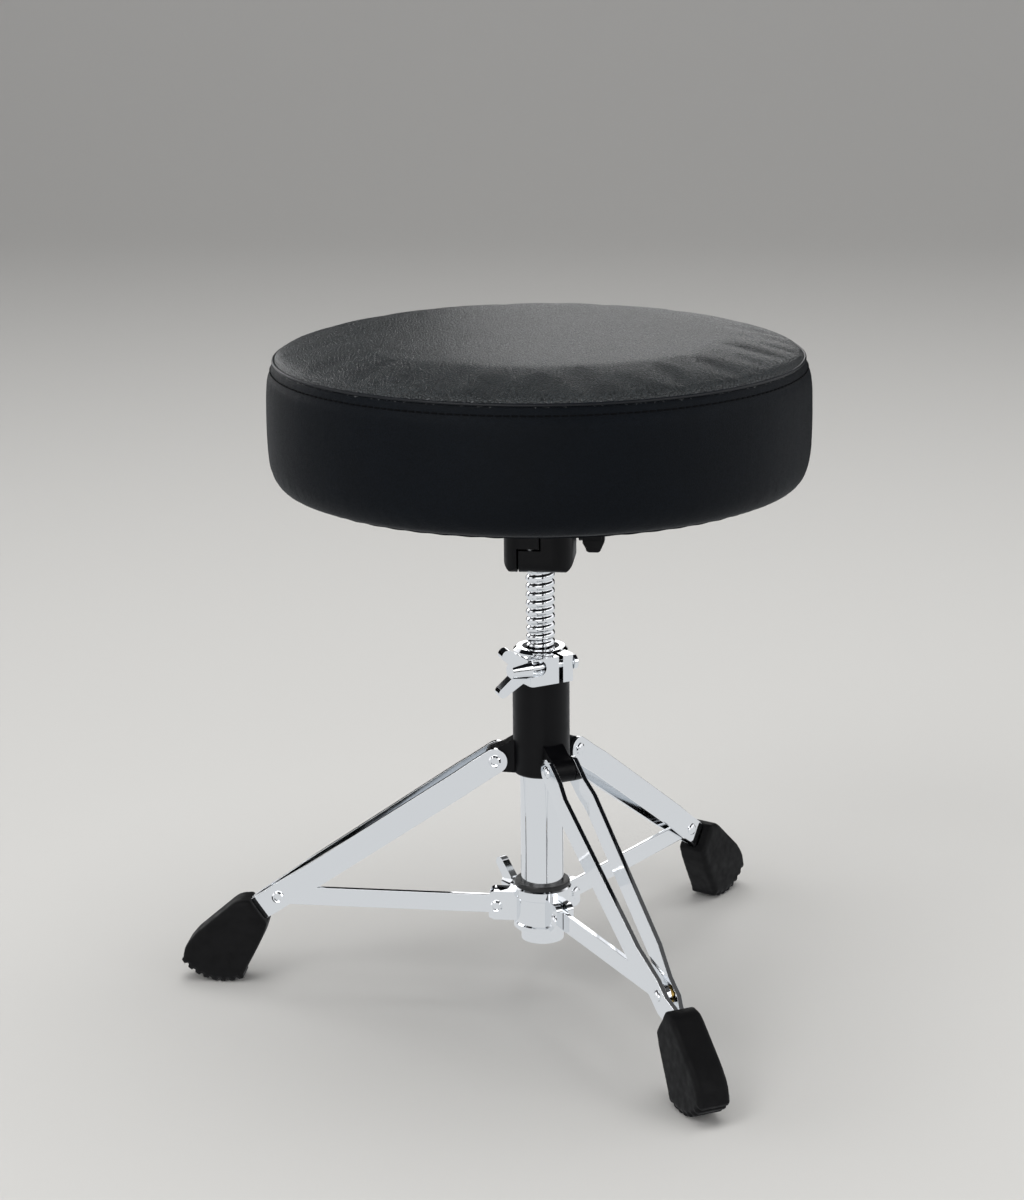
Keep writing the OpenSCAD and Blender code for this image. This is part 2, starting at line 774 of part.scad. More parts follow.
module collar_wing() {
    color("gainsboro") on_screw() translate([0, 0, boss_end + gap])
        wing_shape(collar_wing_span, collar_wing_h, collar_hub_r, wing_t, lock_bolt_d / 2);
}

module brace_pins() {
    color("gainsboro") for (dir = leg_dirs) facing(dir)
        translate([brace_pivot_r, 0, brace_pivot_z]) rivet(2 * ear_out, dir == leg_dirs[0]);
}

// Rivet across the leg's plane, centred on its pivot, with a head at each end
module rivet(grip, hollow) {
    rotate([90, 0, 0]) cylinder(h = grip, r = rivet_r, center = true);
    for (side = [0, 1]) mirror([0, side, 0])
        translate([0, grip / 2, 0]) rotate([-90, 0, 0]) rivet_head(hollow);
}

// Domed head, or the flared ring of a tubular rivet
module rivet_head(hollow) {
    h = rivet_head_h;
    rotate_extrude() polygon(hollow
        ? [[0, 0], [head_r, 0], [head_r - 0.1, h * 0.5], [head_r - 1, h],
            [head_r - 1.7, h * 0.9], [head_r - 2, 0.3], [0, 0.3]]
        : [[0, 0], [head_r, 0], [head_r * 0.9, h * 0.5], [head_r * 0.6, h * 0.88], [0, h]]);
}

// ---- Braces and legs ----

module brace(leg) {
    color("gainsboro") on_brace(leg) rotate([90, 0, 0]) difference() {
        union() {
            for (x = [0, brace_len]) translate([x, 0, 0])
                cylinder(h = bar_t, r = brace_w / 2, center = true);
            translate([0, -brace_w / 2, -bar_t / 2]) cube([brace_len, brace_w, bar_t]);
        }
        for (x = [0, brace_len]) translate([x, 0, 0])
            cylinder(h = bar_t + 2, r = rivet_hole_r, center = true);
    }
}

// Edge of a bar seen from above: its bends, each moved sideways by the same amount
function bar_edge(shift) = [
    [-bar_w, bar_top + shift],
    [joggle_s[0], bar_top + shift],
    [joggle_s[1], bar_upper + shift],
    [taper_s[0], bar_mid + shift],
    [taper_s[1], bar_brace + shift],
    [taper_s[2], bar_brace + shift],
    [taper_s[3], bar_foot + shift],
    [bar_end, bar_foot + shift]
];

function backwards(list) = [for (i = [len(list) - 1:-1:0]) list[i]];

// Side is 0 for the bar on the leg's left, 1 for its right
module bar(leg, side) {
    color("gainsboro") on_leg(leg) mirror([0, side, 0]) difference() {
        intersection() {
            linear_extrude(height = bar_w, center = true)
                polygon(concat(bar_edge(-bar_t / 2), backwards(bar_edge(bar_t / 2))));
            rotate([90, 0, 0]) translate([0, 0, -bar_w]) linear_extrude(height = bar_w * 2) {
                circle(d = bar_w);
                translate([0, -bar_w / 2]) square([bar_end, bar_w]);
            }
        }
        for (s = [0, leg_reach]) translate([s, 0, 0]) rotate([90, 0, 0])
            cylinder(h = 60, r = rivet_r, center = true);
        translate([key_s, 0, 0]) rotate([90, 0, 0]) cylinder(h = 60, r = key_r, center = true);
    }
}

// Heads at the leg's pivot: each rides on its bar and stops short of the lug
module top_rivets(leg) {
    color("gainsboro") on_leg(leg) for (side = [0, 1]) mirror([0, side, 0])
        translate([0, bar_top - bar_t / 2, 0]) rotate([-90, 0, 0]) {
            cylinder(h = bar_t, r = rivet_r);
            translate([0, 0, bar_t]) rivet_head(leg == 0);
        }
}

module brace_rivet(leg) {
    color("gainsboro") on_leg(leg) translate([leg_reach, 0, 0])
        rivet(2 * bar_brace + bar_t, leg == 0);
}

module washers(leg) {
    inner = bar_t / 2 + gap;
    color("#b59a4a") on_leg(leg) for (side = [0, 1]) mirror([0, side, 0])
        translate([leg_reach, inner, 0]) rotate([-90, 0, 0]) difference() {
            cylinder(h = bar_brace - bar_t / 2 - inner, r = rivet_r + 2.5);
            translate([0, 0, -1]) cylinder(h = washer_t + 2, r = rivet_r);
        }
}

// Side outline of a foot about the centre of its sole; the sole's ribs have flat tips
module foot_outline() {
    half = rib_step * 0.3;
    flank = rib_step * 0.08;
    neck = -(sole_reach - neck_gap);
    tip_r = sole_r / cos(half);
    groove_r = sole_r - rib_depth;
    low = -(90 - leg_slope);
    ribs = [
        for (i = [-2:5])
            let (a = low + i * rib_step)
                each [
                    groove_r * [cos(a - half - flank), sin(a - half - flank)],
                    tip_r * [cos(a - half), sin(a - half)],
                    tip_r * [cos(a + half), sin(a + half)],
                    groove_r * [cos(a + half + flank), sin(a + half + flank)]
                ]
    ];
    polygon(concat(
        [[neck, -bar_w / 2 - 2.6], [neck + 6.5, -bar_w / 2 - 7.8], [-sole_r * 0.36, -sole_r * 0.66]],
        ribs,
        [
            [sole_r * 0.9, sole_r * 0.06], [sole_r * 0.82, sole_r * 0.15],
            [sole_r * 0.66, bar_w / 2 - 0.6], [sole_r * 0.44, bar_w / 2 + 1.4],
            [-sole_r * 0.5, bar_w / 2 + 4.8], [neck + 8.4, bar_w / 2 + 4.9],
            [neck + 4.3, bar_w / 2 + 3.6], [neck, bar_w / 2 + 0.6]
        ]
    ));
}

module foot(leg) {
    grip = bar_foot + bar_t / 2;
    color("#161616") on_leg(leg) {
        difference() {
            translate([leg_reach + sole_reach, 0, 0]) rotate([90, 0, 0]) {
                linear_extrude(height = foot_t - 3.6, center = true) foot_outline();
                linear_extrude(height = foot_t - 1.6, center = true) offset(delta = -0.8) foot_outline();
                linear_extrude(height = foot_t, center = true) offset(delta = -2) foot_outline();
            }
            translate([leg_reach, -grip, -bar_w / 2]) cube([bar_end - leg_reach, 2 * grip, bar_w]);
        }
        translate([key_s, 0, 0]) rotate([90, 0, 0]) cylinder(h = 2 * grip + 1, r = key_r, center = true);
    }
}

module brace_1() { brace(0); }
module brace_2() { brace(1); }
module brace_3() { brace(2); }
module leg_1_near_bar() { bar(0, 0); }
module leg_1_far_bar() { bar(0, 1); }
module leg_1_top_rivets() { top_rivets(0); }
module leg_1_brace_rivet() { brace_rivet(0); }
module leg_1_washers() { washers(0); }
module leg_1_foot() { foot(0); }
module leg_2_near_bar() { bar(1, 0); }
module leg_2_far_bar() { bar(1, 1); }
module leg_2_top_rivets() { top_rivets(1); }
module leg_2_brace_rivet() { brace_rivet(1); }
module leg_2_washers() { washers(1); }
module leg_2_foot() { foot(1); }
module leg_3_near_bar() { bar(2, 0); }
module leg_3_far_bar() { bar(2, 1); }
module leg_3_top_rivets() { top_rivets(2); }
module leg_3_brace_rivet() { brace_rivet(2); }
module leg_3_washers() { washers(2); }
module leg_3_foot() { foot(2); }

seat_pad();
seat_board();
seat_plate();
plate_bolts();
tee_nuts();
bracket_body();
jaw_pin();
clamp_jaw();
jaw_bolt();
bracket_knob();
threaded_rod();
rod_end_screw();
rod_guide();
housing();
leg_pivot_pins();
height_nut();
nut_pin();
centre_tube();
tube_plug();
lock_clamp();
lock_bolt();
lock_wing_nut();
lower_collar();
collar_bush();
brace_pins();
collar_screw();
collar_wing();
brace_1();
brace_2();
brace_3();
leg_1_near_bar();
leg_1_far_bar();
leg_1_top_rivets();
leg_1_brace_rivet();
leg_1_washers();
leg_1_foot();
leg_2_near_bar();
leg_2_far_bar();
leg_2_top_rivets();
leg_2_brace_rivet();
leg_2_washers();
leg_2_foot();
leg_3_near_bar();
leg_3_far_bar();
leg_3_top_rivets();
leg_3_brace_rivet();
leg_3_washers();
leg_3_foot();
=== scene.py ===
# %% [markdown]
# # A drum throne
# A drum throne is a low round stool. Its padded seat sits on a threaded post, and
# the post is held in a tripod of flat chromed bars that folds against the tube.
# The working parts come from the CAD frame. This lesson adds what a photographer
# would see: the camera, the light, the materials and the sewn cushion.

# %% Load the frame
import json
import math
import bpy
from mathutils import Matrix, Vector


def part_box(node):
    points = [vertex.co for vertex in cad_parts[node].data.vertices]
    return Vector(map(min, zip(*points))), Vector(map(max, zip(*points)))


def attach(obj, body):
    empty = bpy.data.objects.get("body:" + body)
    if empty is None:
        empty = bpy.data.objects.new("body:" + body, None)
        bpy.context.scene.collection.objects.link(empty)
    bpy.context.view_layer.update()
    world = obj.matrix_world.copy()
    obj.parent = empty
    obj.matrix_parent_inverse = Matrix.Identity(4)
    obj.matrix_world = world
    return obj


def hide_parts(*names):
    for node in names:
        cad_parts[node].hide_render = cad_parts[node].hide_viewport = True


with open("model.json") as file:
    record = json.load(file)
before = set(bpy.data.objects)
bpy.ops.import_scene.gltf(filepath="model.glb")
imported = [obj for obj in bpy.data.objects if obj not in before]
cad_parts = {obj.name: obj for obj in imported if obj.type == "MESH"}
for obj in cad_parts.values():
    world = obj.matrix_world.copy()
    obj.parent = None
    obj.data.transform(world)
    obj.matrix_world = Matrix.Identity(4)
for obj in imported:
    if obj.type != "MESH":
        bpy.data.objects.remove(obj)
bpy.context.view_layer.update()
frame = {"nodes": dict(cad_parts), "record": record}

MM = 0.001
TURN = 2 * math.pi

# %% [markdown]
# ## Camera
# The stool is seen from 1.7 m away and about 0.7 m up, with a long lens, so the
# legs keep nearly parallel lines. A Track To constraint could aim the camera, but
# it would always hold it level. The matrix below is built from the distances and
# angles instead, because it holds the small roll as well.

# %% Camera
CAMERA_DISTANCE = 1.7054
CAMERA_HEIGHT = 0.7072
CAMERA_SIDE = math.radians(5.2)
AIM_DOWN = math.radians(14.82)
AIM_LEFT = math.radians(0.59)
ROLL = math.radians(-0.55)
SENSOR_WIDTH = 36
FOCAL_LENGTH = 100.3

camera_data = bpy.data.cameras.new("camera")
camera_data.sensor_fit = "HORIZONTAL"
camera_data.sensor_width = SENSOR_WIDTH
camera_data.lens = FOCAL_LENGTH
camera = bpy.data.objects.new("camera", camera_data)
bpy.context.collection.objects.link(camera)
heading = CAMERA_SIDE + AIM_LEFT
level = Vector((-math.sin(heading), math.cos(heading), 0))
right = Vector((math.cos(heading), math.sin(heading), 0))
forward = level * math.cos(AIM_DOWN) - Vector((0, 0, math.sin(AIM_DOWN)))
up = level * math.sin(AIM_DOWN) + Vector((0, 0, math.cos(AIM_DOWN)))
rolled_right = right * math.cos(ROLL) + up * math.sin(ROLL)
rolled_up = up * math.cos(ROLL) - right * math.sin(ROLL)
place = Vector((
    CAMERA_DISTANCE * math.sin(CAMERA_SIDE),
    -CAMERA_DISTANCE * math.cos(CAMERA_SIDE),
    CAMERA_HEIGHT,
))
turn = Matrix((rolled_right, rolled_up, -forward)).transposed()
camera.matrix_world = Matrix.Translation(place) @ turn.to_4x4()
bpy.context.scene.camera = camera
print("camera at", [round(x, 3) for x in place])

# %% [markdown]
# ## Selecting and placing
# Blender's operators act on whatever is selected, and the CAD nodes arrive
# selected. So each new piece starts from an empty selection. A finished piece keeps
# its place in its mesh, with the object itself at the origin, so that patterns
# measured from the origin stay where they are.

# %% Selecting and placing
def deselect():
    """Leave edit mode and select nothing."""
    if bpy.context.object and bpy.context.object.mode != "OBJECT":
        bpy.ops.object.mode_set(mode="OBJECT")
    bpy.ops.object.select_all(action="DESELECT")


def only(piece):
    """Select one piece and make it the one that modifiers are applied to."""
    deselect()
    piece.select_set(True)
    bpy.context.view_layer.objects.active = piece


def settle(piece, name):
    """Name a new piece and put its place into its mesh."""
    only(piece)
    bpy.ops.object.transform_apply(location=True, rotation=True, scale=True)
    piece.name = name
    piece.data.name = name
    return piece


# %% [markdown]
# ## Colours and nodes
# Colours are picked as the hex values a paint program shows, and the shader wants
# linear light, so one function turns them. Materials could be built by hand in the
# node editor. In code, a few small functions keep each one short: one adds a node,
# and the others are recipes that use it, with sizes in millimetres.

# %% Colours and nodes
def linear(hex_colour):
    """Turn a hex colour such as #c9c8c5 into linear red, green, blue and alpha."""
    parts = [int(hex_colour[i:i + 2], 16) / 255 for i in (1, 3, 5)]
    return [c / 12.92 if c <= 0.04045 else ((c + 0.055) / 1.055) ** 2.4 for c in parts] + [1]


def add_node(material, kind, settings=None, links=None):
    """Add a node, set its sockets or properties, and link what feeds it."""
    node = material.node_tree.nodes.new(kind)
    for name, value in (settings or {}).items():
        if isinstance(name, str) and hasattr(node, name):
            setattr(node, name, value)
        else:
            node.inputs[name].default_value = value
    for name, source in (links or {}).items():
        material.node_tree.links.new(source, node.inputs[name])
    return node


def new_material(name, **sockets):
    """A material whose shader has these constant sockets."""
    material = bpy.data.materials.new(name)
    material.use_nodes = True
    shader = material.node_tree.nodes["Principled BSDF"]
    for socket, value in sockets.items():
        shader.inputs[socket.replace("_", " ")].default_value = value
    return material, shader


def place_of(material):
    """Object coordinates in millimetres, so pattern scales are real sizes."""
    where = add_node(material, "ShaderNodeTexCoord").outputs["Object"]
    return add_node(
        material, "ShaderNodeVectorMath", {"operation": "SCALE", "Scale": 1 / MM}, {0: where}
    ).outputs[0]


def noise(material, where, size_mm, detail=3.0, rough=0.5):
    """Cloudy pattern whose blotches are about size_mm across."""
    return add_node(
        material, "ShaderNodeTexNoise",
        {"Scale": 1.0 / size_mm, "Detail": detail, "Roughness": rough},
        {"Vector": where},
    ).outputs[0]


def spread(material, value, low, high, from_low=0.3, from_high=0.7):
    """Stretch a pattern's middle values to run from low to high."""
    return add_node(
        material, "ShaderNodeMapRange",
        {"From Min": from_low, "From Max": from_high, "To Min": low, "To Max": high},
        {"Value": value},
    ).outputs[0]


def blend_colours(material, value, dark, light):
    """Run from the dark colour to the light one as the pattern goes from 0 to 1."""
    mix = add_node(material, "ShaderNodeMix", {"data_type": "RGBA"}, {0: value})
    for socket in mix.inputs:
        if socket.type == "RGBA":
            socket.default_value = linear(dark if socket.name == "A" else light)
    return [out for out in mix.outputs if out.type == "RGBA"][0]


def bump(material, shader, height, depth_mm, strength=1.0, below=None):
    """Bump of a real depth; below is an earlier bump that it adds to."""
    links = {"Height": height}
    if below:
        links["Normal"] = below
    node = add_node(
        material, "ShaderNodeBump", {"Strength": strength, "Distance": depth_mm * MM}, links
    )
    material.node_tree.links.new(node.outputs[0], shader.inputs["Normal"])
    return node.outputs[0]


def feed(material, shader, socket, value):
    """Drive one of the shader's sockets with a pattern."""
    material.node_tree.links.new(value, shader.inputs[socket])


# %% [markdown]
# ## Floor
# A studio floor is a painted sheet that curves up into the wall, so that no corner
# shows behind the object. A plain plane would end in a line. Here the plane's back
# edge is pulled up into a wall, and the fold between them is bevelled into a cove.

# %% Floor
FLOOR_SIZE = 14
WALL_HEIGHT = 6
COVE_RADIUS = 3.5
back_edge = FLOOR_SIZE / 2 - 0.1

deselect()
bpy.ops.mesh.primitive_plane_add(size=FLOOR_SIZE, location=(0, 0, 0))
floor = settle(bpy.context.object, "floor")
bpy.ops.object.mode_set(mode="EDIT")
bpy.ops.mesh.select_mode(type="EDGE")
bpy.ops.mesh.select_all(action="DESELECT")
bpy.ops.object.mode_set(mode="OBJECT")
for edge in floor.data.edges:
    ends = [floor.data.vertices[i].co.y for i in edge.vertices]
    edge.select = min(ends) > back_edge
bpy.ops.object.mode_set(mode="EDIT")
bpy.ops.mesh.extrude_region_move(TRANSFORM_OT_translate={"value": (0, 0, WALL_HEIGHT)})
bpy.ops.mesh.select_all(action="DESELECT")
bpy.ops.object.mode_set(mode="OBJECT")
for edge in floor.data.edges:
    ends = [floor.data.vertices[i].co for i in edge.vertices]
    edge.select = all(end.y > back_edge and end.z < 0.1 for end in ends)
bpy.ops.object.mode_set(mode="EDIT")
bpy.ops.mesh.bevel(offset=COVE_RADIUS, segments=24)
bpy.ops.object.mode_set(mode="OBJECT")
bpy.ops.object.shade_smooth()
floor_paint, floor_shader = new_material("pale_floor_paint", Roughness=0.65)
floor_shader.inputs["Base Color"].default_value = linear("#c9c8c5")
floor_shader.inputs["Specular IOR Level"].default_value = 0.0
floor.data.materials.append(floor_paint)
print("floor:", len(floor.data.polygons), "faces")

# %% [markdown]
# ## Sky
# Chrome shows the room more than itself. An evenly white room would leave it flat,
# and a picture of a real room would bring that room's colours. So the sky is a ramp
# that runs round the horizon, white with two dark bands, which a tube squeezes into
# thin upright lines. Overhead it is dark. The camera sees a plain backdrop instead,
# about as dark as the floor's far end, so that the floor's edge hardly shows.

# %% Sky
# Each stop of the ramp is a share of the turn round the horizon, and its light
SKY_BANDS = [
    (0.00, 1.00), (0.10, 1.00), (0.13, 0.03), (0.17, 0.03), (0.20, 0.90), (0.40, 0.80),
    (0.60, 0.80), (0.80, 0.90), (0.83, 0.03), (0.87, 0.03), (0.90, 1.00), (1.00, 1.00),
]
BACKDROP_LIGHT = 0.23
HORIZON_LIGHT = 1.25
CEILING_LIGHT = 0.10
# Where the ceiling's dark starts and is full, as sines of the angle above the horizon
CEILING_START = 0.50
CEILING_END = 0.70
world = bpy.data.worlds.new("studio")
bpy.context.scene.world = world
bpy.context.scene.view_settings.view_transform = "Standard"
world.use_nodes = True
sky = world.node_tree
direction = sky.nodes.new("ShaderNodeTexCoord").outputs["Generated"]
split = sky.nodes.new("ShaderNodeSeparateXYZ")
sky.links.new(direction, split.inputs[0])
around = sky.nodes.new("ShaderNodeMath")
around.operation = "ARCTAN2"
sky.links.new(split.outputs["X"], around.inputs[0])
sky.links.new(split.outputs["Y"], around.inputs[1])
share = sky.nodes.new("ShaderNodeMapRange")
share.inputs["From Min"].default_value = -math.pi
share.inputs["From Max"].default_value = math.pi
sky.links.new(around.outputs[0], share.inputs["Value"])
ramp = sky.nodes.new("ShaderNodeValToRGB")
while len(ramp.color_ramp.elements) < len(SKY_BANDS):
    ramp.color_ramp.elements.new(0.5)
for element, (where, light) in zip(ramp.color_ramp.elements, SKY_BANDS):
    element.position = where
    element.color = (light, light, light * 1.02, 1)
sky.links.new(share.outputs[0], ramp.inputs[0])
# The ceiling is dark: light falls off between 30 and about 45 degrees above the horizon
ceiling = sky.nodes.new("ShaderNodeMapRange")
ceiling.inputs["From Min"].default_value = CEILING_START
ceiling.inputs["From Max"].default_value = CEILING_END
ceiling.inputs["To Min"].default_value = HORIZON_LIGHT
ceiling.inputs["To Max"].default_value = CEILING_LIGHT
sky.links.new(split.outputs["Z"], ceiling.inputs["Value"])
# The camera's own rays take the plain backdrop, and all other rays the bands
seen = sky.nodes.new("ShaderNodeLightPath").outputs["Is Camera Ray"]
choice = sky.nodes.new("ShaderNodeMixShader")
plain = sky.nodes.new("ShaderNodeBackground")
plain.inputs["Color"].default_value = (BACKDROP_LIGHT, BACKDROP_LIGHT, BACKDROP_LIGHT, 1)
banded = sky.nodes["Background"]
sky.links.new(ramp.outputs[0], banded.inputs["Color"])
sky.links.new(ceiling.outputs[0], banded.inputs["Strength"])
sky.links.new(seen, choice.inputs[0])
sky.links.new(banded.outputs[0], choice.inputs[1])
sky.links.new(plain.outputs[0], choice.inputs[2])
sky.links.new(choice.outputs[0], sky.nodes["World Output"].inputs["Surface"])
print("sky ramp:", len(SKY_BANDS), "stops")

# %% [markdown]
# ## Flags and reflector
# Seen from above, a standing tube or bar mirrors the floor in front of it, so a
# white card there makes the chrome white. The dark lines that make a tube look round
# come from flags, which are narrow black cards that a photographer stands round the
# set. Both could be painted into the sky, but cards near the object change along
# its height as real ones do. The camera sees none of them; only reflections do.

# %% Flags and reflector
# Each flag has a bearing and a width, both in degrees as the object sees them
FLAGS = [("near_right", 23, 12), ("left", -103, 14), ("far_left", -160, 20), ("far_right", 152, 22)]
FLAG_DISTANCE = 0.9
FLAG_HEIGHT = 1.4
REFLECTOR_RADIUS = 3.0
REFLECTOR_LIFT = 0.5 * MM
REFLECTOR_LIGHT = 0.76
flag_cloth, flag_shader = new_material("black_flag_cloth", Roughness=1.0)
flag_shader.inputs["Base Color"].default_value = linear("#060606")
flag_shader.inputs["Specular IOR Level"].default_value = 0.0
reflector_card, card_shader = new_material("white_reflector_card", Roughness=1.0)
# The card only glows: with a white base it would also take the lamps' light
card_shader.inputs["Base Color"].default_value = linear("#000000")
card_shader.inputs["Specular IOR Level"].default_value = 0.0
card_shader.inputs["Emission Color"].default_value = linear("#f4f6f8")
card_shader.inputs["Emission Strength"].default_value = REFLECTOR_LIGHT


def only_in_reflections(card, cloth):
    """Cover a card, and hide it from everything but reflections."""
    card.data.materials.append(cloth)
    card.visible_camera = False
    card.visible_diffuse = False
    card.visible_shadow = False
    card.visible_transmission = False


def flag(name, bearing, spread_degrees):
    """Black card on the floor; its bearing runs right from the camera's side."""
    deselect()
    angle = math.radians(bearing) - math.pi / 2
    width = 2 * FLAG_DISTANCE * math.tan(math.radians(spread_degrees) / 2)
    bpy.ops.mesh.primitive_plane_add(size=1, rotation=(math.pi / 2, 0, angle + math.pi / 2))
    card = bpy.context.object
    card.scale = (width, FLAG_HEIGHT, 1)
    card.location = (
        FLAG_DISTANCE * math.cos(angle), FLAG_DISTANCE * math.sin(angle), FLAG_HEIGHT / 2
    )
    only_in_reflections(settle(card, "flag_" + name), flag_cloth)


for name, bearing, width in FLAGS:
    flag(name, bearing, width)
deselect()
bpy.ops.mesh.primitive_circle_add(
    vertices=64, radius=REFLECTOR_RADIUS, fill_type="NGON", location=(0, 0, REFLECTOR_LIFT)
)
only_in_reflections(settle(bpy.context.object, "floor_reflector"), reflector_card)
print("flags:", len(FLAGS))

# %% [markdown]
# ## Lamps
# Soft boxes give broad, gentle shadows, where a point lamp or a sun would draw hard
# ones. Three of them stand on the camera's side. A long panel far behind skims the
# crown of the seat, and a big overhead panel lights the floor.

# %% Lamps
def soft_box(name, where, aim, size, watts):
    """Hang a rectangular lamp at a place, turned to face its aim."""
    lamp = bpy.data.lights.new(name, "AREA")
    lamp.shape = "RECTANGLE"
    lamp.size, lamp.size_y = size
    lamp.energy = watts
    holder = bpy.data.objects.new(name, lamp)
    bpy.context.collection.objects.link(holder)
    gaze = Vector(aim) - Vector(where)
    turned = gaze.to_track_quat("-Z", "Y").to_matrix().to_4x4()
    holder.matrix_world = Matrix.Translation(where) @ turned
    return holder


soft_box("key_light", (-1.3, -1.5, 2.1), (0, 0, 0.2), (1.2, 1.2), 18)
soft_box("fill_light", (1.9, -1.2, 1.1), (0, 0, 0.2), (0.9, 1.4), 7)
soft_box("low_light", (-0.5, -2.6, 0.35), (0, 0, 0.1), (1.6, 0.5), 4)
# The panel behind shows only as the pale sheen on the seat and in the chrome
rim = soft_box("rim_light", (-1.1, 2.8, 0.95), (0, 0, 0.42), (4.8, 0.8), 24)
rim.visible_camera = False
rim.visible_diffuse = False
# The big overhead panel lights the floor, and is kept out of the reflections
overhead = soft_box("top_light", (0.1, 0.3, 2.8), (0, 0, 0), (3.0, 3.0), 75)
overhead.visible_glossy = False

# %% [markdown]
# ## Chrome plate
# The bars, tube and clamps are steel, polished and plated with nickel and chrome.
# Plating gives a bright, slightly cool mirror with faint polishing waves. A mirror
# of one roughness looks drawn, so soft smudges vary the roughness, and two bumps
# give the slow wave of the polishing wheel and the finest scratches.

# %% Chrome plate
def chrome_plate():
    """Polished nickel-chrome plating on steel: a cool mirror, barely uneven."""
    material, shader = new_material("chrome_plate_polished", Metallic=1.0)
    shader.inputs["Base Color"].default_value = linear("#f1f3f5")
    where = place_of(material)
    smudge = spread(material, noise(material, where, 22, 4), 0.03, 0.09)
    feed(material, shader, "Roughness", smudge)
    wave = bump(material, shader, noise(material, where, 14, 1), 0.05, 0.5)
    bump(material, shader, noise(material, where, 0.6, 2), 0.004, 0.35, wave)
    return material


chrome = chrome_plate()
print("plating:", chrome.name)

# %% [markdown]
# ## Powder coat, zinc and brass
# The cast housing and bracket are zinc alloy under satin black powder coat, baked
# on, whose orange-peel surface breaks up the highlights. Small fasteners are steel
# with a blue zinc plating, which is greyer and more blotchy than chrome. The one
# yellow part is a stamped brass washer.

# %% Powder coat, zinc and brass
def powder_coat():
    """Satin black powder coat on a casting."""
    material, shader = new_material("powder_coat_satin_black")
    shader.inputs["Specular IOR Level"].default_value = 0.14
    where = place_of(material)
    feed(material, shader, "Base Color",
         blend_colours(material, noise(material, where, 9, 4), "#050507", "#0b0b0d"))
    feed(material, shader, "Roughness", spread(material, noise(material, where, 5, 3), 0.33, 0.46))
    # The peel's blotches are about 1.2 mm, a little coarser than real so that they show
    bump(material, shader, noise(material, where, 1.2, 2), 0.03, 0.5)
    return material


def zinc_plate():
    """Blue passivated zinc on small steel fasteners and staples."""
    material, shader = new_material("zinc_plate_blue_passivated", Metallic=1.0)
    where = place_of(material)
    feed(material, shader, "Base Color",
         blend_colours(material, noise(material, where, 4, 4), "#9a9ea3", "#b9bab6"))
    feed(material, shader, "Roughness", spread(material, noise(material, where, 1.5, 3), 0.28, 0.45))
    bump(material, shader, noise(material, where, 0.5, 2), 0.01, 0.4)
    return material


def brass_washer():
    """Stamped brass, a little tarnished."""
    material, shader = new_material("brass_stamped", Metallic=1.0)
    where = place_of(material)
    feed(material, shader, "Base Color",
         blend_colours(material, noise(material, where, 2, 3), "#a98743", "#c7a65a"))
    feed(material, shader, "Roughness", spread(material, noise(material, where, 1, 2), 0.25, 0.4))
    return material


black_coat = powder_coat()
zinc = zinc_plate()
brass = brass_washer()
print("other metals:", black_coat.name, zinc.name, brass.name)

# %% [markdown]
# ## Rubber, plastics and wood
# The feet are moulded rubber: nearly black, dull, with a fine sandblasted mould
# texture and faint dust in cloudy patches. The bush and the tube's plug are black
# nylon, the glide inside the tube is natural nylon, and the seat board is plywood.
# An image could carry such patterns, but noise sized in millimetres needs no file
# and stays sharp at any distance.

# %% Rubber, nylon and plywood
def foot_rubber():
    """Moulded black rubber with the mould's sandblasted texture."""
    material, shader = new_material("moulded_rubber_black")
    shader.inputs["Specular IOR Level"].default_value = 0.14
    where = place_of(material)
    feed(material, shader, "Base Color",
         blend_colours(material, noise(material, where, 11, 6, 0.7), "#060607", "#101011"))
    feed(material, shader, "Roughness", spread(material, noise(material, where, 6, 4), 0.5, 0.72))
    bump(material, shader, noise(material, where, 0.7, 3), 0.06, 0.5)
    return material


def black_nylon():
    """Injection-moulded black nylon."""
    material, shader = new_material("moulded_nylon_black")
    shader.inputs["Base Color"].default_value = linear("#131314")
    where = place_of(material)
    feed(material, shader, "Roughness", spread(material, noise(material, where, 3, 3), 0.38, 0.52))
    bump(material, shader, noise(material, where, 0.8, 2), 0.02, 0.5)
    return material


def natural_nylon():
    """Turned nylon in its own creamy white."""
    material, shader = new_material("turned_nylon_natural", Roughness=0.4)
    where = place_of(material)
    feed(material, shader, "Base Color",
         blend_colours(material, noise(material, where, 5, 3), "#d9d5c8", "#e9e6db"))
    return material


def plywood():
    """Birch plywood, with its grain and its plies."""
    material, shader = new_material("birch_plywood")
    where = place_of(material)
    stretch = add_node(material, "ShaderNodeMapping", {}, {"Vector": where})
    # Grain runs along X: about 0.8 mm wide and 25 mm long; plies are 1.5 mm thick
    stretch.inputs["Scale"].default_value = (0.03, 1, 0.66)
    grain = noise(material, stretch.outputs[0], 0.8, 4, 0.6)
    feed(material, shader, "Base Color", blend_colours(material, grain, "#a98254", "#d2b083"))
    feed(material, shader, "Roughness", spread(material, grain, 0.55, 0.7))
    bump(material, shader, grain, 0.08, 0.6)
    return material


rubber = foot_rubber()
nylon_black = black_nylon()
nylon = natural_nylon()
wood = plywood()
print("rubber, plastics and wood:", rubber.name, nylon_black.name, nylon.name, wood.name)
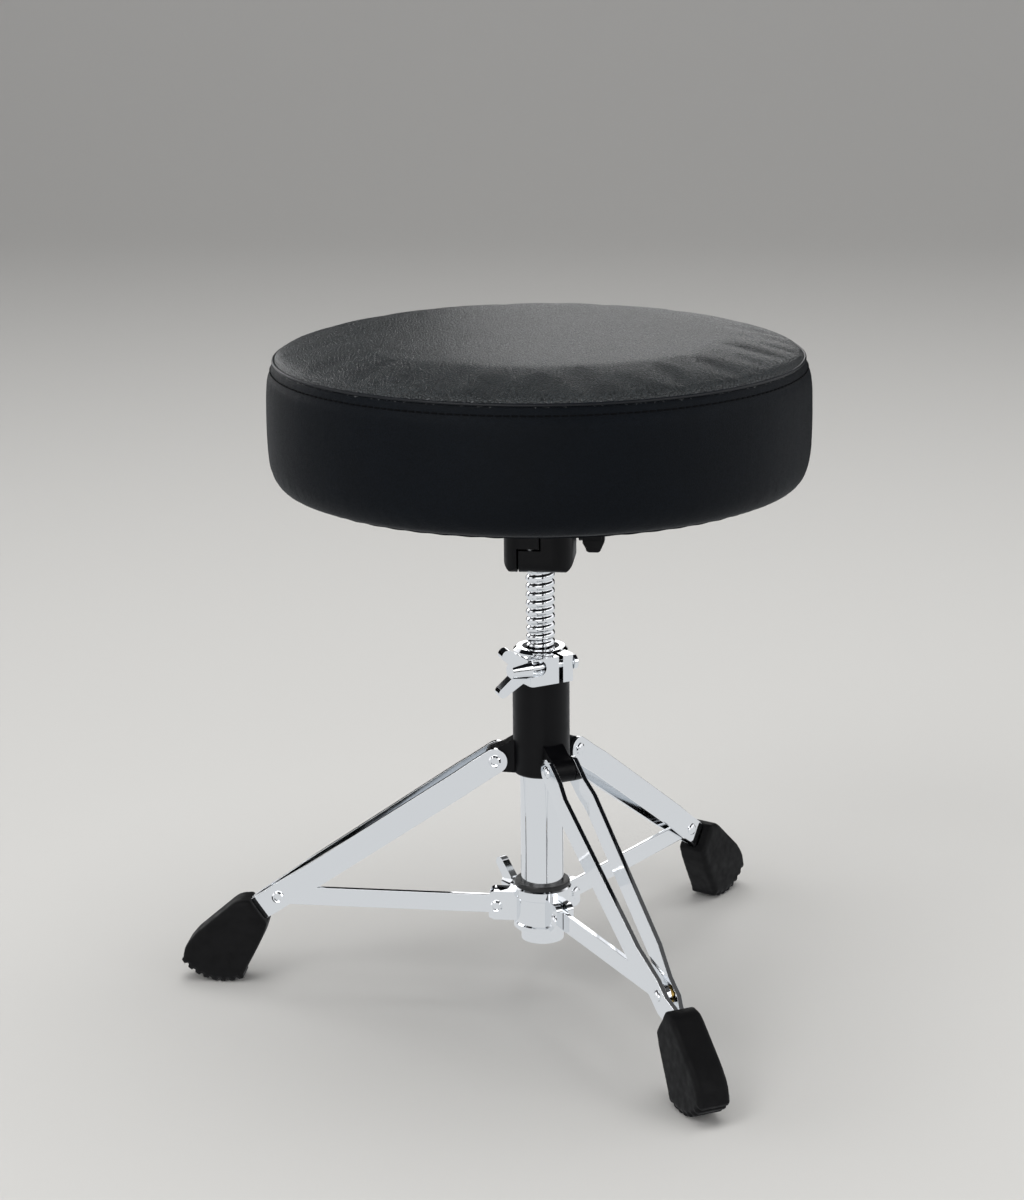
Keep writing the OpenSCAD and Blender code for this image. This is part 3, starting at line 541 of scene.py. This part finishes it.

# %% [markdown]
# ## Vinyl and thread
# The cover is PVC-coated cloth embossed with a leather grain: pebbles about 1 mm
# across with creases between them. Plain noise would look like cloud, so cells from
# a Voronoi pattern give the pebbles, and noise breaks their outline. The creases are
# coloured darker than the pebbles, as painted shade. The top panel is glossier, so it
# catches more grey light than the side band does, and its pebbles are coloured a
# lighter grey as painted sheen. Its pebbles are drawn 2 mm across, coarser than
# real, so that they show.

# %% Vinyl, piping and thread
def grained_vinyl(name, crease_shade, pebbles, pebble_mm, depth_mm, rough_low, rough_high, gloss):
    """Embossed vinyl, from its painted crease shade and its pebble colour, its grain's size and
    depth, and its shine.
    """
    material, shader = new_material(name)
    shader.inputs["Specular IOR Level"].default_value = gloss
    where = place_of(material)
    wander = add_node(
        material, "ShaderNodeTexNoise", {"Scale": 0.6, "Detail": 2.0}, {"Vector": where}
    ).outputs[1]
    moved = add_node(material, "ShaderNodeVectorMath", {"operation": "MULTIPLY_ADD"})
    moved.inputs[1].default_value = (0.9, 0.9, 0.9)
    material.node_tree.links.new(wander, moved.inputs[0])
    material.node_tree.links.new(where, moved.inputs[2])
    cells = add_node(
        material, "ShaderNodeTexVoronoi",
        {"feature": "DISTANCE_TO_EDGE", "Scale": 1.0 / pebble_mm}, {"Vector": moved.outputs[0]},
    ).outputs["Distance"]
    height = spread(material, cells, 0.0, 1.0, 0.0, 0.22)
    cloud = noise(material, where, 30, 4)
    # The creases take the darker colour as painted shade; the slow cloud varies the tone at random
    crease_shade_and_tone = add_node(material, "ShaderNodeMath", {"operation": "MULTIPLY"})
    material.node_tree.links.new(height, crease_shade_and_tone.inputs[0])
    material.node_tree.links.new(spread(material, cloud, 0.55, 1.0), crease_shade_and_tone.inputs[1])
    feed(material, shader, "Base Color", blend_colours(material, crease_shade_and_tone.outputs[0], crease_shade, pebbles))
    speckle = noise(material, where, 1.0, 3, 0.7)
    feed(material, shader, "Roughness", spread(material, speckle, rough_low, rough_high))
    soft = bump(material, shader, noise(material, where, 9, 3), 0.35, 0.35)
    bump(material, shader, height, depth_mm, 0.75, soft)
    return material


side_vinyl = grained_vinyl(
    "vinyl_cover_side", "#03060a", "#080e15", 1.0, 0.08, 0.44, 0.58, 0.10
)
# The top's much lighter pebble grey is painted sheen, on top of its real extra gloss
top_vinyl_painted_sheen = grained_vinyl(
    "vinyl_cover_top_painted_sheen", "#06090b", "#2c3133", 2.0, 0.46, 0.30, 0.56, 0.70
)
welt_vinyl = grained_vinyl(
    "vinyl_piping", "#07090d", "#10141a", 0.8, 0.03, 0.30, 0.42, 0.30
)


def bonded_thread():
    """Bonded polyester sewing thread, dull black, kept darker than the vinyl as painted shade of the
    stitch holes.
    """
    material, shader = new_material("polyester_thread_black", Roughness=0.8)
    shader.inputs["Specular IOR Level"].default_value = 0.1
    where = place_of(material)
    feed(material, shader, "Base Color",
         blend_colours(material, noise(material, where, 0.5, 2), "#020203", "#08090b"))
    bump(material, shader, noise(material, where, 0.25, 2), 0.04, 0.6)
    return material


thread = bonded_thread()
print("covers:", side_vinyl.name, top_vinyl_painted_sheen.name, welt_vinyl.name, thread.name)

# %% [markdown]
# ## Finishes on the CAD parts
# Each CAD node gets the material of its real finish. Plated and cast parts never
# have knife edges: tumbling and plating round them a little, and the rounding is
# what catches the light. New pieces could stand in for all of these parts, but
# their shapes are right already. The CAD meshes may not be changed, so modifiers
# weld their triangles and round their sharp edges.

# %% Finish every CAD node
FINISHES = {
    "vinyl": side_vinyl, "plywood": wood, "black_steel": black_coat, "zinc_steel": zinc,
    "black_casting": black_coat, "chrome": chrome, "nylon": nylon,
    "black_plastic": nylon_black, "brass": brass, "rubber": rubber,
}
# Edges that turn by more than this are sharp
SHARP = math.radians(35)
slot_of = {part["node"]: part["material_slot"] for part in frame["record"]["subparts"]}
for name, node in frame["nodes"].items():
    node.data.materials.clear()
    node.data.materials.append(FINISHES[slot_of[name]])


def round_edges(name, width_mm):
    """Weld a CAD node's triangles and round its sharp edges."""
    node = frame["nodes"][name]
    weld = node.modifiers.new("weld", "WELD")
    weld.merge_threshold = 0.01 * MM
    flat = node.modifiers.new("flat", "DECIMATE")
    flat.decimate_type = "DISSOLVE"
    flat.angle_limit = math.radians(0.5)
    edge = node.modifiers.new("edge", "BEVEL")
    edge.width = width_mm * MM
    edge.segments = 2
    edge.limit_method = "ANGLE"
    edge.angle_limit = SHARP
    edge.harden_normals = False
    weighted = node.modifiers.new("weighted", "WEIGHTED_NORMAL")
    weighted.keep_sharp = False


EDGE_ROUNDING = {
    "bracket_body": 1.2, "clamp_jaw": 1.2, "bracket_knob": 1.0, "housing": 0.7,
    "lock_clamp": 0.7, "lock_wing_nut": 0.6, "lower_collar": 0.6, "collar_wing": 0.6,
}
for leg in (1, 2, 3):
    EDGE_ROUNDING[f"brace_{leg}"] = 0.5
    EDGE_ROUNDING[f"leg_{leg}_near_bar"] = 0.5
    EDGE_ROUNDING[f"leg_{leg}_far_bar"] = 0.5
for name, width in EDGE_ROUNDING.items():
    round_edges(name, width)
print("rounded", len(EDGE_ROUNDING), "CAD parts")

# %% [markdown]
# ## The cushion
# The cushion is a foam block under a cover of two panels: a round top and a side
# band, sewn together at the top rim. Foam pushes both panels out, and the seam
# holds them in. A spun profile alone would be too even. So a cylinder is shaped to
# the sewn outline, then cloth with a little pressure inside swells the panels while
# the seam line is pinned. First come the cushion's sizes and two ways to select.
# The crown is a little fuller at its rim than the CAD solid's, as foam is.

# %% Sizes of the cushion
pad_low, pad_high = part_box("seat_pad")
SEAT_RADIUS = pad_high.x
SEAM_RADIUS = SEAT_RADIUS - 4.5 * MM
CROWN_HEIGHT = 14 * MM
CROWN_FLATNESS = 7
RIM_ROUNDNESS = 0.6
SEAM_HEIGHT = pad_high.z - CROWN_HEIGHT
UNDERSIDE = pad_low.z
# The outline stays this much lower at the middle, because the cloth swells
SWELL_ALLOWANCE = 1.5 * MM


def crown_height(share):
    """Height above the seam, at a share of the seam's radius: flat, then a round rim."""
    return CROWN_HEIGHT * (1 - share ** CROWN_FLATNESS) ** RIM_ROUNDNESS


def pick_faces(piece, test):
    """Select the faces that pass a test, and stay in edit mode."""
    bpy.ops.object.mode_set(mode="OBJECT")
    for face in piece.data.polygons:
        face.select = test(face)
    for edge in piece.data.edges:
        edge.select = False
    for vertex in piece.data.vertices:
        vertex.select = False
    for face in piece.data.polygons:
        if face.select:
            for i in face.vertices:
                piece.data.vertices[i].select = True
    bpy.ops.object.mode_set(mode="EDIT")
    bpy.ops.mesh.select_mode(type="FACE")


def pick_ring(piece, height):
    """Select the ring of points on the cushion's side at one height."""
    bpy.ops.object.mode_set(mode="OBJECT")
    for part in (*piece.data.polygons, *piece.data.edges):
        part.select = False
    for vertex in piece.data.vertices:
        outer = math.hypot(vertex.co.x, vertex.co.y) > 0.9 * SEAM_RADIUS
        vertex.select = outer and abs(vertex.co.z - height) < 0.1 * MM
    bpy.ops.object.mode_set(mode="EDIT")
    bpy.ops.mesh.select_mode(type="VERT")


print("cushion: radius %.1f mm, seam at %.1f mm" % (SEAT_RADIUS / MM, SEAM_HEIGHT / MM))

# %% [markdown]
# The top panel is made by insetting one face again and again, and lifting each new
# ring onto the crown. The side band is cut into rows, and each row is then scaled
# to its own width, so that the band bulges below the seam and turns in at the foot.

# %% Shape the cushion's sewn outline
# Each ring is a share of the seam's radius
RINGS = (0.985, 0.96, 0.92, 0.85, 0.75, 0.6, 0.4, 0.2)
# Each row is a share of the band's height, and how far it is pushed out in mm
SIDE_ROWS = (
    (0.96, 1.4), (0.90, 2.6), (0.78, 3.6), (0.52, 4.0),
    (0.30, 3.6), (0.17, 2.6), (0.09, 0.4), (0.03, -3.2),
)
deselect()
bpy.ops.mesh.primitive_cylinder_add(
    vertices=96, radius=SEAM_RADIUS, depth=SEAM_HEIGHT - UNDERSIDE,
    location=(0, 0, (SEAM_HEIGHT + UNDERSIDE) / 2),
)
pad = settle(bpy.context.object, "seat_cushion")
bpy.ops.object.mode_set(mode="EDIT")
bpy.ops.mesh.select_mode(type="FACE")
# The top panel
pick_faces(pad, lambda face: face.normal.z > 0.9)
last_share, last_height = 1.0, 0.0
for share_now in RINGS:
    bpy.ops.mesh.inset(thickness=(last_share - share_now) * SEAM_RADIUS)
    height = crown_height(share_now) - SWELL_ALLOWANCE * (1 - share_now ** 4)
    bpy.ops.transform.translate(value=(0, 0, height - last_height))
    last_share, last_height = share_now, height
# The side band
rows = [(UNDERSIDE + share * (SEAM_HEIGHT - UNDERSIDE), push * MM) for share, push in SIDE_ROWS]
for row_height, _ in rows:
    bpy.ops.mesh.select_all(action="SELECT")
    bpy.ops.mesh.bisect(plane_co=(0, 0, row_height), plane_no=(0, 0, 1))
for row_height, push in rows:
    pick_ring(pad, row_height)
    grow = 1 + push / SEAM_RADIUS
    bpy.ops.transform.resize(value=(grow, grow, 1), center_override=(0, 0, row_height))
# The underside stays flat and is drawn in a little
pick_faces(pad, lambda face: face.normal.z < -0.9)
bpy.ops.transform.resize(value=(0.96, 0.96, 1), center_override=(0, 0, UNDERSIDE))
bpy.ops.mesh.inset(thickness=6 * MM)
bpy.ops.object.mode_set(mode="OBJECT")
print("sewn outline:", len(pad.data.polygons), "faces")

# %% [markdown]
# Cloth moves well only on even squares, which a voxel remesh gives. Pinned are the
# seam and the whole underside, which is stapled to the board. After the swell no
# point is left more than 1.8 mm from where it started, so the pad keeps its size.

# %% Swell the cover with cloth
CLOTH_CELL = 5 * MM
MOST_SWELL = 1.8 * MM
SEAM_BAND = 8 * MM
UNDERSIDE_BAND = 6 * MM
CLOTH_FRAMES = 20
CLOTH_PRESSURE = 4
CLOTH_STIFFNESS = 25
CLOTH_BENDING = 4

only(pad)
remesh = pad.modifiers.new("remesh", "REMESH")
remesh.mode = "VOXEL"
remesh.voxel_size = CLOTH_CELL
bpy.ops.object.modifier_apply(modifier="remesh")
ease = pad.modifiers.new("ease", "SMOOTH")
ease.factor = 0.5
ease.iterations = 3
bpy.ops.object.modifier_apply(modifier="ease")


def held_weight(point):
    """How firmly a point is pinned, from 0, free, to 1, on the seam or underside."""
    radius = math.hypot(point.x, point.y)
    to_seam = math.hypot(radius - SEAM_RADIUS, point.z - SEAM_HEIGHT)
    if point.z < UNDERSIDE + UNDERSIDE_BAND:
        return 1.0
    return max(0.0, 1.0 - to_seam / SEAM_BAND) ** 0.5


pins = pad.vertex_groups.new(name="sewn")
for vertex in pad.data.vertices:
    weight = held_weight(vertex.co)
    if weight > 0:
        pins.add([vertex.index], weight, "REPLACE")
sewn = [vertex.co.copy() for vertex in pad.data.vertices]
cloth = pad.modifiers.new("cloth", "CLOTH")
cloth.settings.vertex_group_mass = "sewn"
cloth.settings.use_pressure = True
cloth.settings.uniform_pressure_force = CLOTH_PRESSURE
cloth.settings.tension_stiffness = CLOTH_STIFFNESS
cloth.settings.compression_stiffness = CLOTH_STIFFNESS
cloth.settings.bending_stiffness = CLOTH_BENDING
cloth.settings.effector_weights.gravity = 0
for number in range(1, CLOTH_FRAMES + 1):
    bpy.context.scene.frame_set(number)
bpy.ops.object.modifier_apply(modifier="cloth")
bpy.context.scene.frame_set(1)
for vertex, start in zip(pad.data.vertices, sewn):
    move = vertex.co - start
    if move.length > MOST_SWELL:
        vertex.co = start + move.normalized() * MOST_SWELL
swollen = [(vertex.co - start).length for vertex, start in zip(pad.data.vertices, sewn)]
print("cloth moved at most %.1f mm" % (max(swollen) / MM))

# %% [markdown]
# The seam and the line of stitches pull shallow grooves into the foam. A remesh
# would have wiped them out, so they are pressed in after the swell, on a finer
# mesh: each point near the line moves a little inwards, most on the line itself.

# %% Press in the seam and the stitch line
STITCH_DROP = 5.5 * MM
STITCH_GROOVE = 1.0 * MM
SEAM_GROOVE = 0.8 * MM
GROOVE_WIDTH = 3.0 * MM

only(pad)
finer = pad.modifiers.new("finer", "SUBSURF")
finer.levels = 1
finer.render_levels = 1
bpy.ops.object.modifier_apply(modifier="finer")


def side_radius(height):
    """Mean radius of the cushion's side near one height."""
    near = [v.co for v in pad.data.vertices if abs(v.co.z - height) < 1.5 * MM]
    found = [math.hypot(point.x, point.y) for point in near]
    outer = [radius for radius in found if radius > 0.9 * SEAM_RADIUS]
    return sum(outer) / len(outer)


def press(piece, centre_radius, centre_height, depth):
    """Press a round groove, deepest at one radius and height."""
    for vertex in piece.data.vertices:
        radius = math.hypot(vertex.co.x, vertex.co.y)
        away = math.hypot(radius - centre_radius, vertex.co.z - centre_height)
        pull = depth * math.exp(-(away / GROOVE_WIDTH) ** 2)
        if radius > 0.5 * SEAM_RADIUS:
            vertex.co.x -= vertex.co.x / radius * pull
            vertex.co.y -= vertex.co.y / radius * pull
            vertex.co.z -= 0.4 * pull if abs(vertex.co.z - centre_height) < GROOVE_WIDTH else 0


STITCH_HEIGHT = SEAM_HEIGHT - STITCH_DROP
stitch_radius = side_radius(STITCH_HEIGHT)
press(pad, stitch_radius, STITCH_HEIGHT, STITCH_GROOVE)
press(pad, SEAM_RADIUS, SEAM_HEIGHT, SEAM_GROOVE)
print("stitch line at radius %.1f mm" % (stitch_radius / MM))

# %% Cover the cushion
pad.data.materials.append(side_vinyl)
# The second slot is the top vinyl, whose lighter grey is painted sheen
pad.data.materials.append(top_vinyl_painted_sheen)
for face in pad.data.polygons:
    face.material_index = 1 if face.center.z > SEAM_HEIGHT - 0.5 * MM else 0
only(pad)
bpy.ops.object.shade_smooth()
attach(pad, "seat")
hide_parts("seat_pad")
widest = side_radius((SEAM_HEIGHT + UNDERSIDE) / 2)
print("cushion:", len(pad.data.polygons), "faces, radius %.1f mm" % (widest / MM))

# %% [markdown]
# ## Piping
# The seam is finished with a thin cord wrapped in vinyl. A curve with a round bevel
# could draw it, but a torus is already a closed ring. At the back, where the two
# ends of a real piping overlap, it is pulled half as high again.

# %% Piping
PIPING_RADIUS = 1.0 * MM
PIPING_HEIGHT = SEAM_HEIGHT + 0.2 * MM
LAP_HALF = 4 * MM
seam_now = side_radius(SEAM_HEIGHT - 1.0 * MM)
deselect()
bpy.ops.mesh.primitive_torus_add(
    major_segments=240, minor_segments=12, major_radius=seam_now - 0.2 * MM,
    minor_radius=PIPING_RADIUS, location=(0, 0, PIPING_HEIGHT),
)
piping = settle(bpy.context.object, "seat_piping")
pick_faces(piping, lambda face: face.center.y > 0 and abs(face.center.x) < LAP_HALF)
bpy.ops.transform.resize(
    value=(1.0, 1.004, 1.5), center_override=(0, seam_now, PIPING_HEIGHT)
)
bpy.ops.object.mode_set(mode="OBJECT")
piping.data.materials.append(welt_vinyl)
only(piping)
bpy.ops.object.shade_smooth()
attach(piping, "seat")
print("piping radius %.1f mm" % (seam_now / MM))

# %% [markdown]
# ## Stitches
# A line of lockstitch runs below the seam, one stitch every 4.6 mm. A painted dashed
# line would vanish at the outline, so one stitch is modelled as a small rounded bar,
# and the spin tool copies it all the way round.

# %% Stitches
STITCH_LENGTH = 3.2 * MM
STITCH_STEP = 4.6 * MM
THREAD_RADIUS = 0.45 * MM
stitch_now = side_radius(STITCH_HEIGHT)
deselect()
bpy.ops.mesh.primitive_cylinder_add(
    vertices=6, radius=THREAD_RADIUS, depth=STITCH_LENGTH,
    location=(stitch_now + 0.15 * MM, 0, STITCH_HEIGHT), rotation=(math.pi / 2, 0, 0),
)
stitches = settle(bpy.context.object, "seat_stitches")
pick_faces(stitches, lambda face: abs(face.normal.y) > 0.9)
bpy.ops.mesh.inset(thickness=0.2 * MM)
bpy.ops.transform.resize(value=(1, 1.16, 1), center_override=(stitch_now, 0, STITCH_HEIGHT))
bpy.ops.mesh.select_all(action="SELECT")
count = round(TURN * stitch_now / STITCH_STEP)
bpy.ops.mesh.spin(
    steps=count, dupli=True, angle=TURN, use_auto_merge=False,
    center=(0, 0, STITCH_HEIGHT), axis=(0, 0, 1),
)
bpy.ops.object.mode_set(mode="OBJECT")
stitches.data.materials.append(thread)
only(stitches)
bpy.ops.object.shade_smooth()
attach(stitches, "seat")
print("stitches:", count)

# %% [markdown]
# ## The underside
# Under the seat the cover is turned over the board's edge and stapled. A thin disc
# is inset twice and opened in the middle, which leaves a ring of vinyl, and a wave
# round it makes the small gathers. Cloth could gather by itself, but nobody looks
# closely here.

# %% Turned-under hem
board_low, board_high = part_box("seat_board")
BOARD_RADIUS = board_high.x
HEM_WIDTH = 16 * MM
HEM_THICKNESS = 1.0 * MM
GATHERS = 60
GATHER_DEPTH = 0.35 * MM
deselect()
bpy.ops.mesh.primitive_cylinder_add(
    vertices=360, radius=BOARD_RADIUS + 4 * MM, depth=HEM_THICKNESS, end_fill_type="NGON",
    location=(0, 0, board_low.z - 0.55 * MM),
)
hem = settle(bpy.context.object, "seat_hem")
pick_faces(hem, lambda face: abs(face.normal.z) > 0.9)
bpy.ops.mesh.inset(thickness=HEM_WIDTH / 2)
bpy.ops.mesh.inset(thickness=HEM_WIDTH / 2)
bpy.ops.mesh.bridge_edge_loops()
bpy.ops.object.mode_set(mode="OBJECT")
for vertex in hem.data.vertices:
    angle = math.atan2(vertex.co.y, vertex.co.x)
    vertex.co.z -= GATHER_DEPTH * (1 + math.sin(GATHERS * angle)) / 2
hem.data.materials.append(side_vinyl)
only(hem)
bpy.ops.object.shade_smooth_by_angle(angle=math.radians(40))
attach(hem, "seat")
print("hem:", len(hem.data.polygons), "faces")

# %% Staples
STAPLE_SIZE = (0.7 * MM, 9 * MM, 0.5 * MM)
staple_radius = BOARD_RADIUS - 6 * MM
deselect()
bpy.ops.mesh.primitive_cube_add(size=1, location=(staple_radius, 0, board_low.z - 1.5 * MM))
bpy.context.object.scale = STAPLE_SIZE
staples = settle(bpy.context.object, "seat_staples")
bpy.ops.object.mode_set(mode="EDIT")
bpy.ops.mesh.select_all(action="SELECT")
bpy.ops.mesh.bevel(offset=0.15 * MM, segments=1, affect="EDGES")
bpy.ops.mesh.select_all(action="SELECT")
bpy.ops.mesh.spin(
    steps=GATHERS, dupli=True, angle=TURN, use_auto_merge=False, center=(0, 0, 0), axis=(0, 0, 1)
)
bpy.ops.object.mode_set(mode="OBJECT")
staples.data.materials.append(zinc)
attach(staples, "seat")
print("staples:", GATHERS)

# %% [markdown]
# ## The threaded post
# The post has a coarse rolled thread, rounded at crest and root, so that it turns
# easily in its nut. The CAD rod carries plain rings. A profile could be screwed
# round the axis, but its ends would need closing. Here a cylinder is cut into thin
# slices, and each point moves in or out with its height and its direction, which
# makes one continuous right-hand helix on a closed rod.

# %% Helical thread
rod_low, rod_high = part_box("threaded_rod")
ROD_RADIUS = rod_high.x
PITCH = 5.4 * MM
THREAD_DEPTH = 1.15 * MM
SLICES_PER_TURN = 12
FACETS = 48
END_CHAMFER = 2 * MM
rod_length = rod_high.z - rod_low.z
slices = round(rod_length / PITCH * SLICES_PER_TURN)


def thread_radius(angle, height):
    """Rounded ridge and a narrower rounded groove, one pitch for each turn."""
    phase = (height / PITCH - angle / TURN) * TURN
    groove = (0.5 + 0.5 * math.cos(phase)) ** 2.2
    return ROD_RADIUS - THREAD_DEPTH * groove


deselect()
bpy.ops.mesh.primitive_cylinder_add(
    vertices=FACETS, radius=ROD_RADIUS, depth=rod_length,
    location=(0, 0, (rod_low.z + rod_high.z) / 2),
)
thread_rod = settle(bpy.context.object, "post_thread")
bpy.ops.object.mode_set(mode="EDIT")
for number in range(1, slices):
    bpy.ops.mesh.select_all(action="SELECT")
    height = rod_low.z + rod_length * number / slices
    bpy.ops.mesh.bisect(plane_co=(0, 0, height), plane_no=(0, 0, 1))
bpy.ops.object.mode_set(mode="OBJECT")
for vertex in thread_rod.data.vertices:
    angle = math.atan2(vertex.co.y, vertex.co.x)
    end_room = min(vertex.co.z - rod_low.z, rod_high.z - vertex.co.z)
    wanted = thread_radius(angle, vertex.co.z) - max(0, END_CHAMFER - end_room) * 0.6
    vertex.co.x = math.cos(angle) * wanted
    vertex.co.y = math.sin(angle) * wanted
thread_rod.data.materials.append(chrome)
only(thread_rod)
bpy.ops.object.shade_smooth_by_angle(angle=math.radians(60))
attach(thread_rod, "seat")
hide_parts("threaded_rod")
print("thread:", len(thread_rod.data.polygons), "faces")

# %% [markdown]
# ## Rubber feet
# A moulded foot has no sharp edge anywhere. A bevel can't round a shape where so
# many small edges meet. The CAD foot has the right outline and ribs, so a copy of it
# is rebuilt in small cubes and smoothed, much above the sole and little at its ribs,
# which stay crisp because they grip the floor.

# %% Rounded feet
FOOT_CELL = 0.7 * MM
SOLE_RADIUS = 32.7 * MM
RIB_ROOM = 3.2 * MM
UPPER_ROUNDS = 28
ALL_ROUNDS = 4
soles = {
    int(mount["name"].split("_")[1]): mount["pos_m"]
    for mount in frame["record"]["mounts"] if mount["name"].endswith("_sole")
}


def moulded_foot(leg):
    """Rebuild one leg's CAD foot with rounded edges, in that foot's place."""
    source = frame["nodes"][f"leg_{leg}_foot"]
    copy = source.copy()
    copy.data = source.data.copy()
    copy.modifiers.clear()
    bpy.context.collection.objects.link(copy)
    copy.parent = None
    copy.matrix_world = Matrix.Identity(4)
    piece = settle(copy, f"foot_{leg}_rubber")
    bpy.ops.object.mode_set(mode="EDIT")
    bpy.ops.mesh.select_all(action="SELECT")
    bpy.ops.mesh.remove_doubles(threshold=0.01 * MM)
    bpy.ops.object.mode_set(mode="OBJECT")
    cubes = piece.modifiers.new("cubes", "REMESH")
    cubes.mode = "VOXEL"
    cubes.voxel_size = FOOT_CELL
    bpy.ops.object.modifier_apply(modifier="cubes")
    upper = piece.vertex_groups.new(name="upper")
    sole_centre = Vector(soles[leg]) + Vector((0, 0, SOLE_RADIUS))
    for vertex in piece.data.vertices:
        if (vertex.co - sole_centre).length < SOLE_RADIUS - RIB_ROOM:
            upper.add([vertex.index], 1.0, "REPLACE")
    for group, rounds in (("upper", UPPER_ROUNDS), ("", ALL_ROUNDS)):
        wear = piece.modifiers.new("wear", "SMOOTH")
        wear.factor = 0.5
        wear.iterations = rounds
        wear.vertex_group = group
        bpy.ops.object.modifier_apply(modifier="wear")
    piece.vertex_groups.clear()
    bpy.ops.object.shade_smooth()
    piece.data.materials.clear()
    piece.data.materials.append(rubber)
    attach(piece, f"leg_{leg}")
    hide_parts(f"leg_{leg}_foot")
    return piece


for leg in (1, 2, 3):
    foot = moulded_foot(leg)
    print(foot.name, len(foot.data.polygons), "faces")

# %% Clear the selection
deselect()
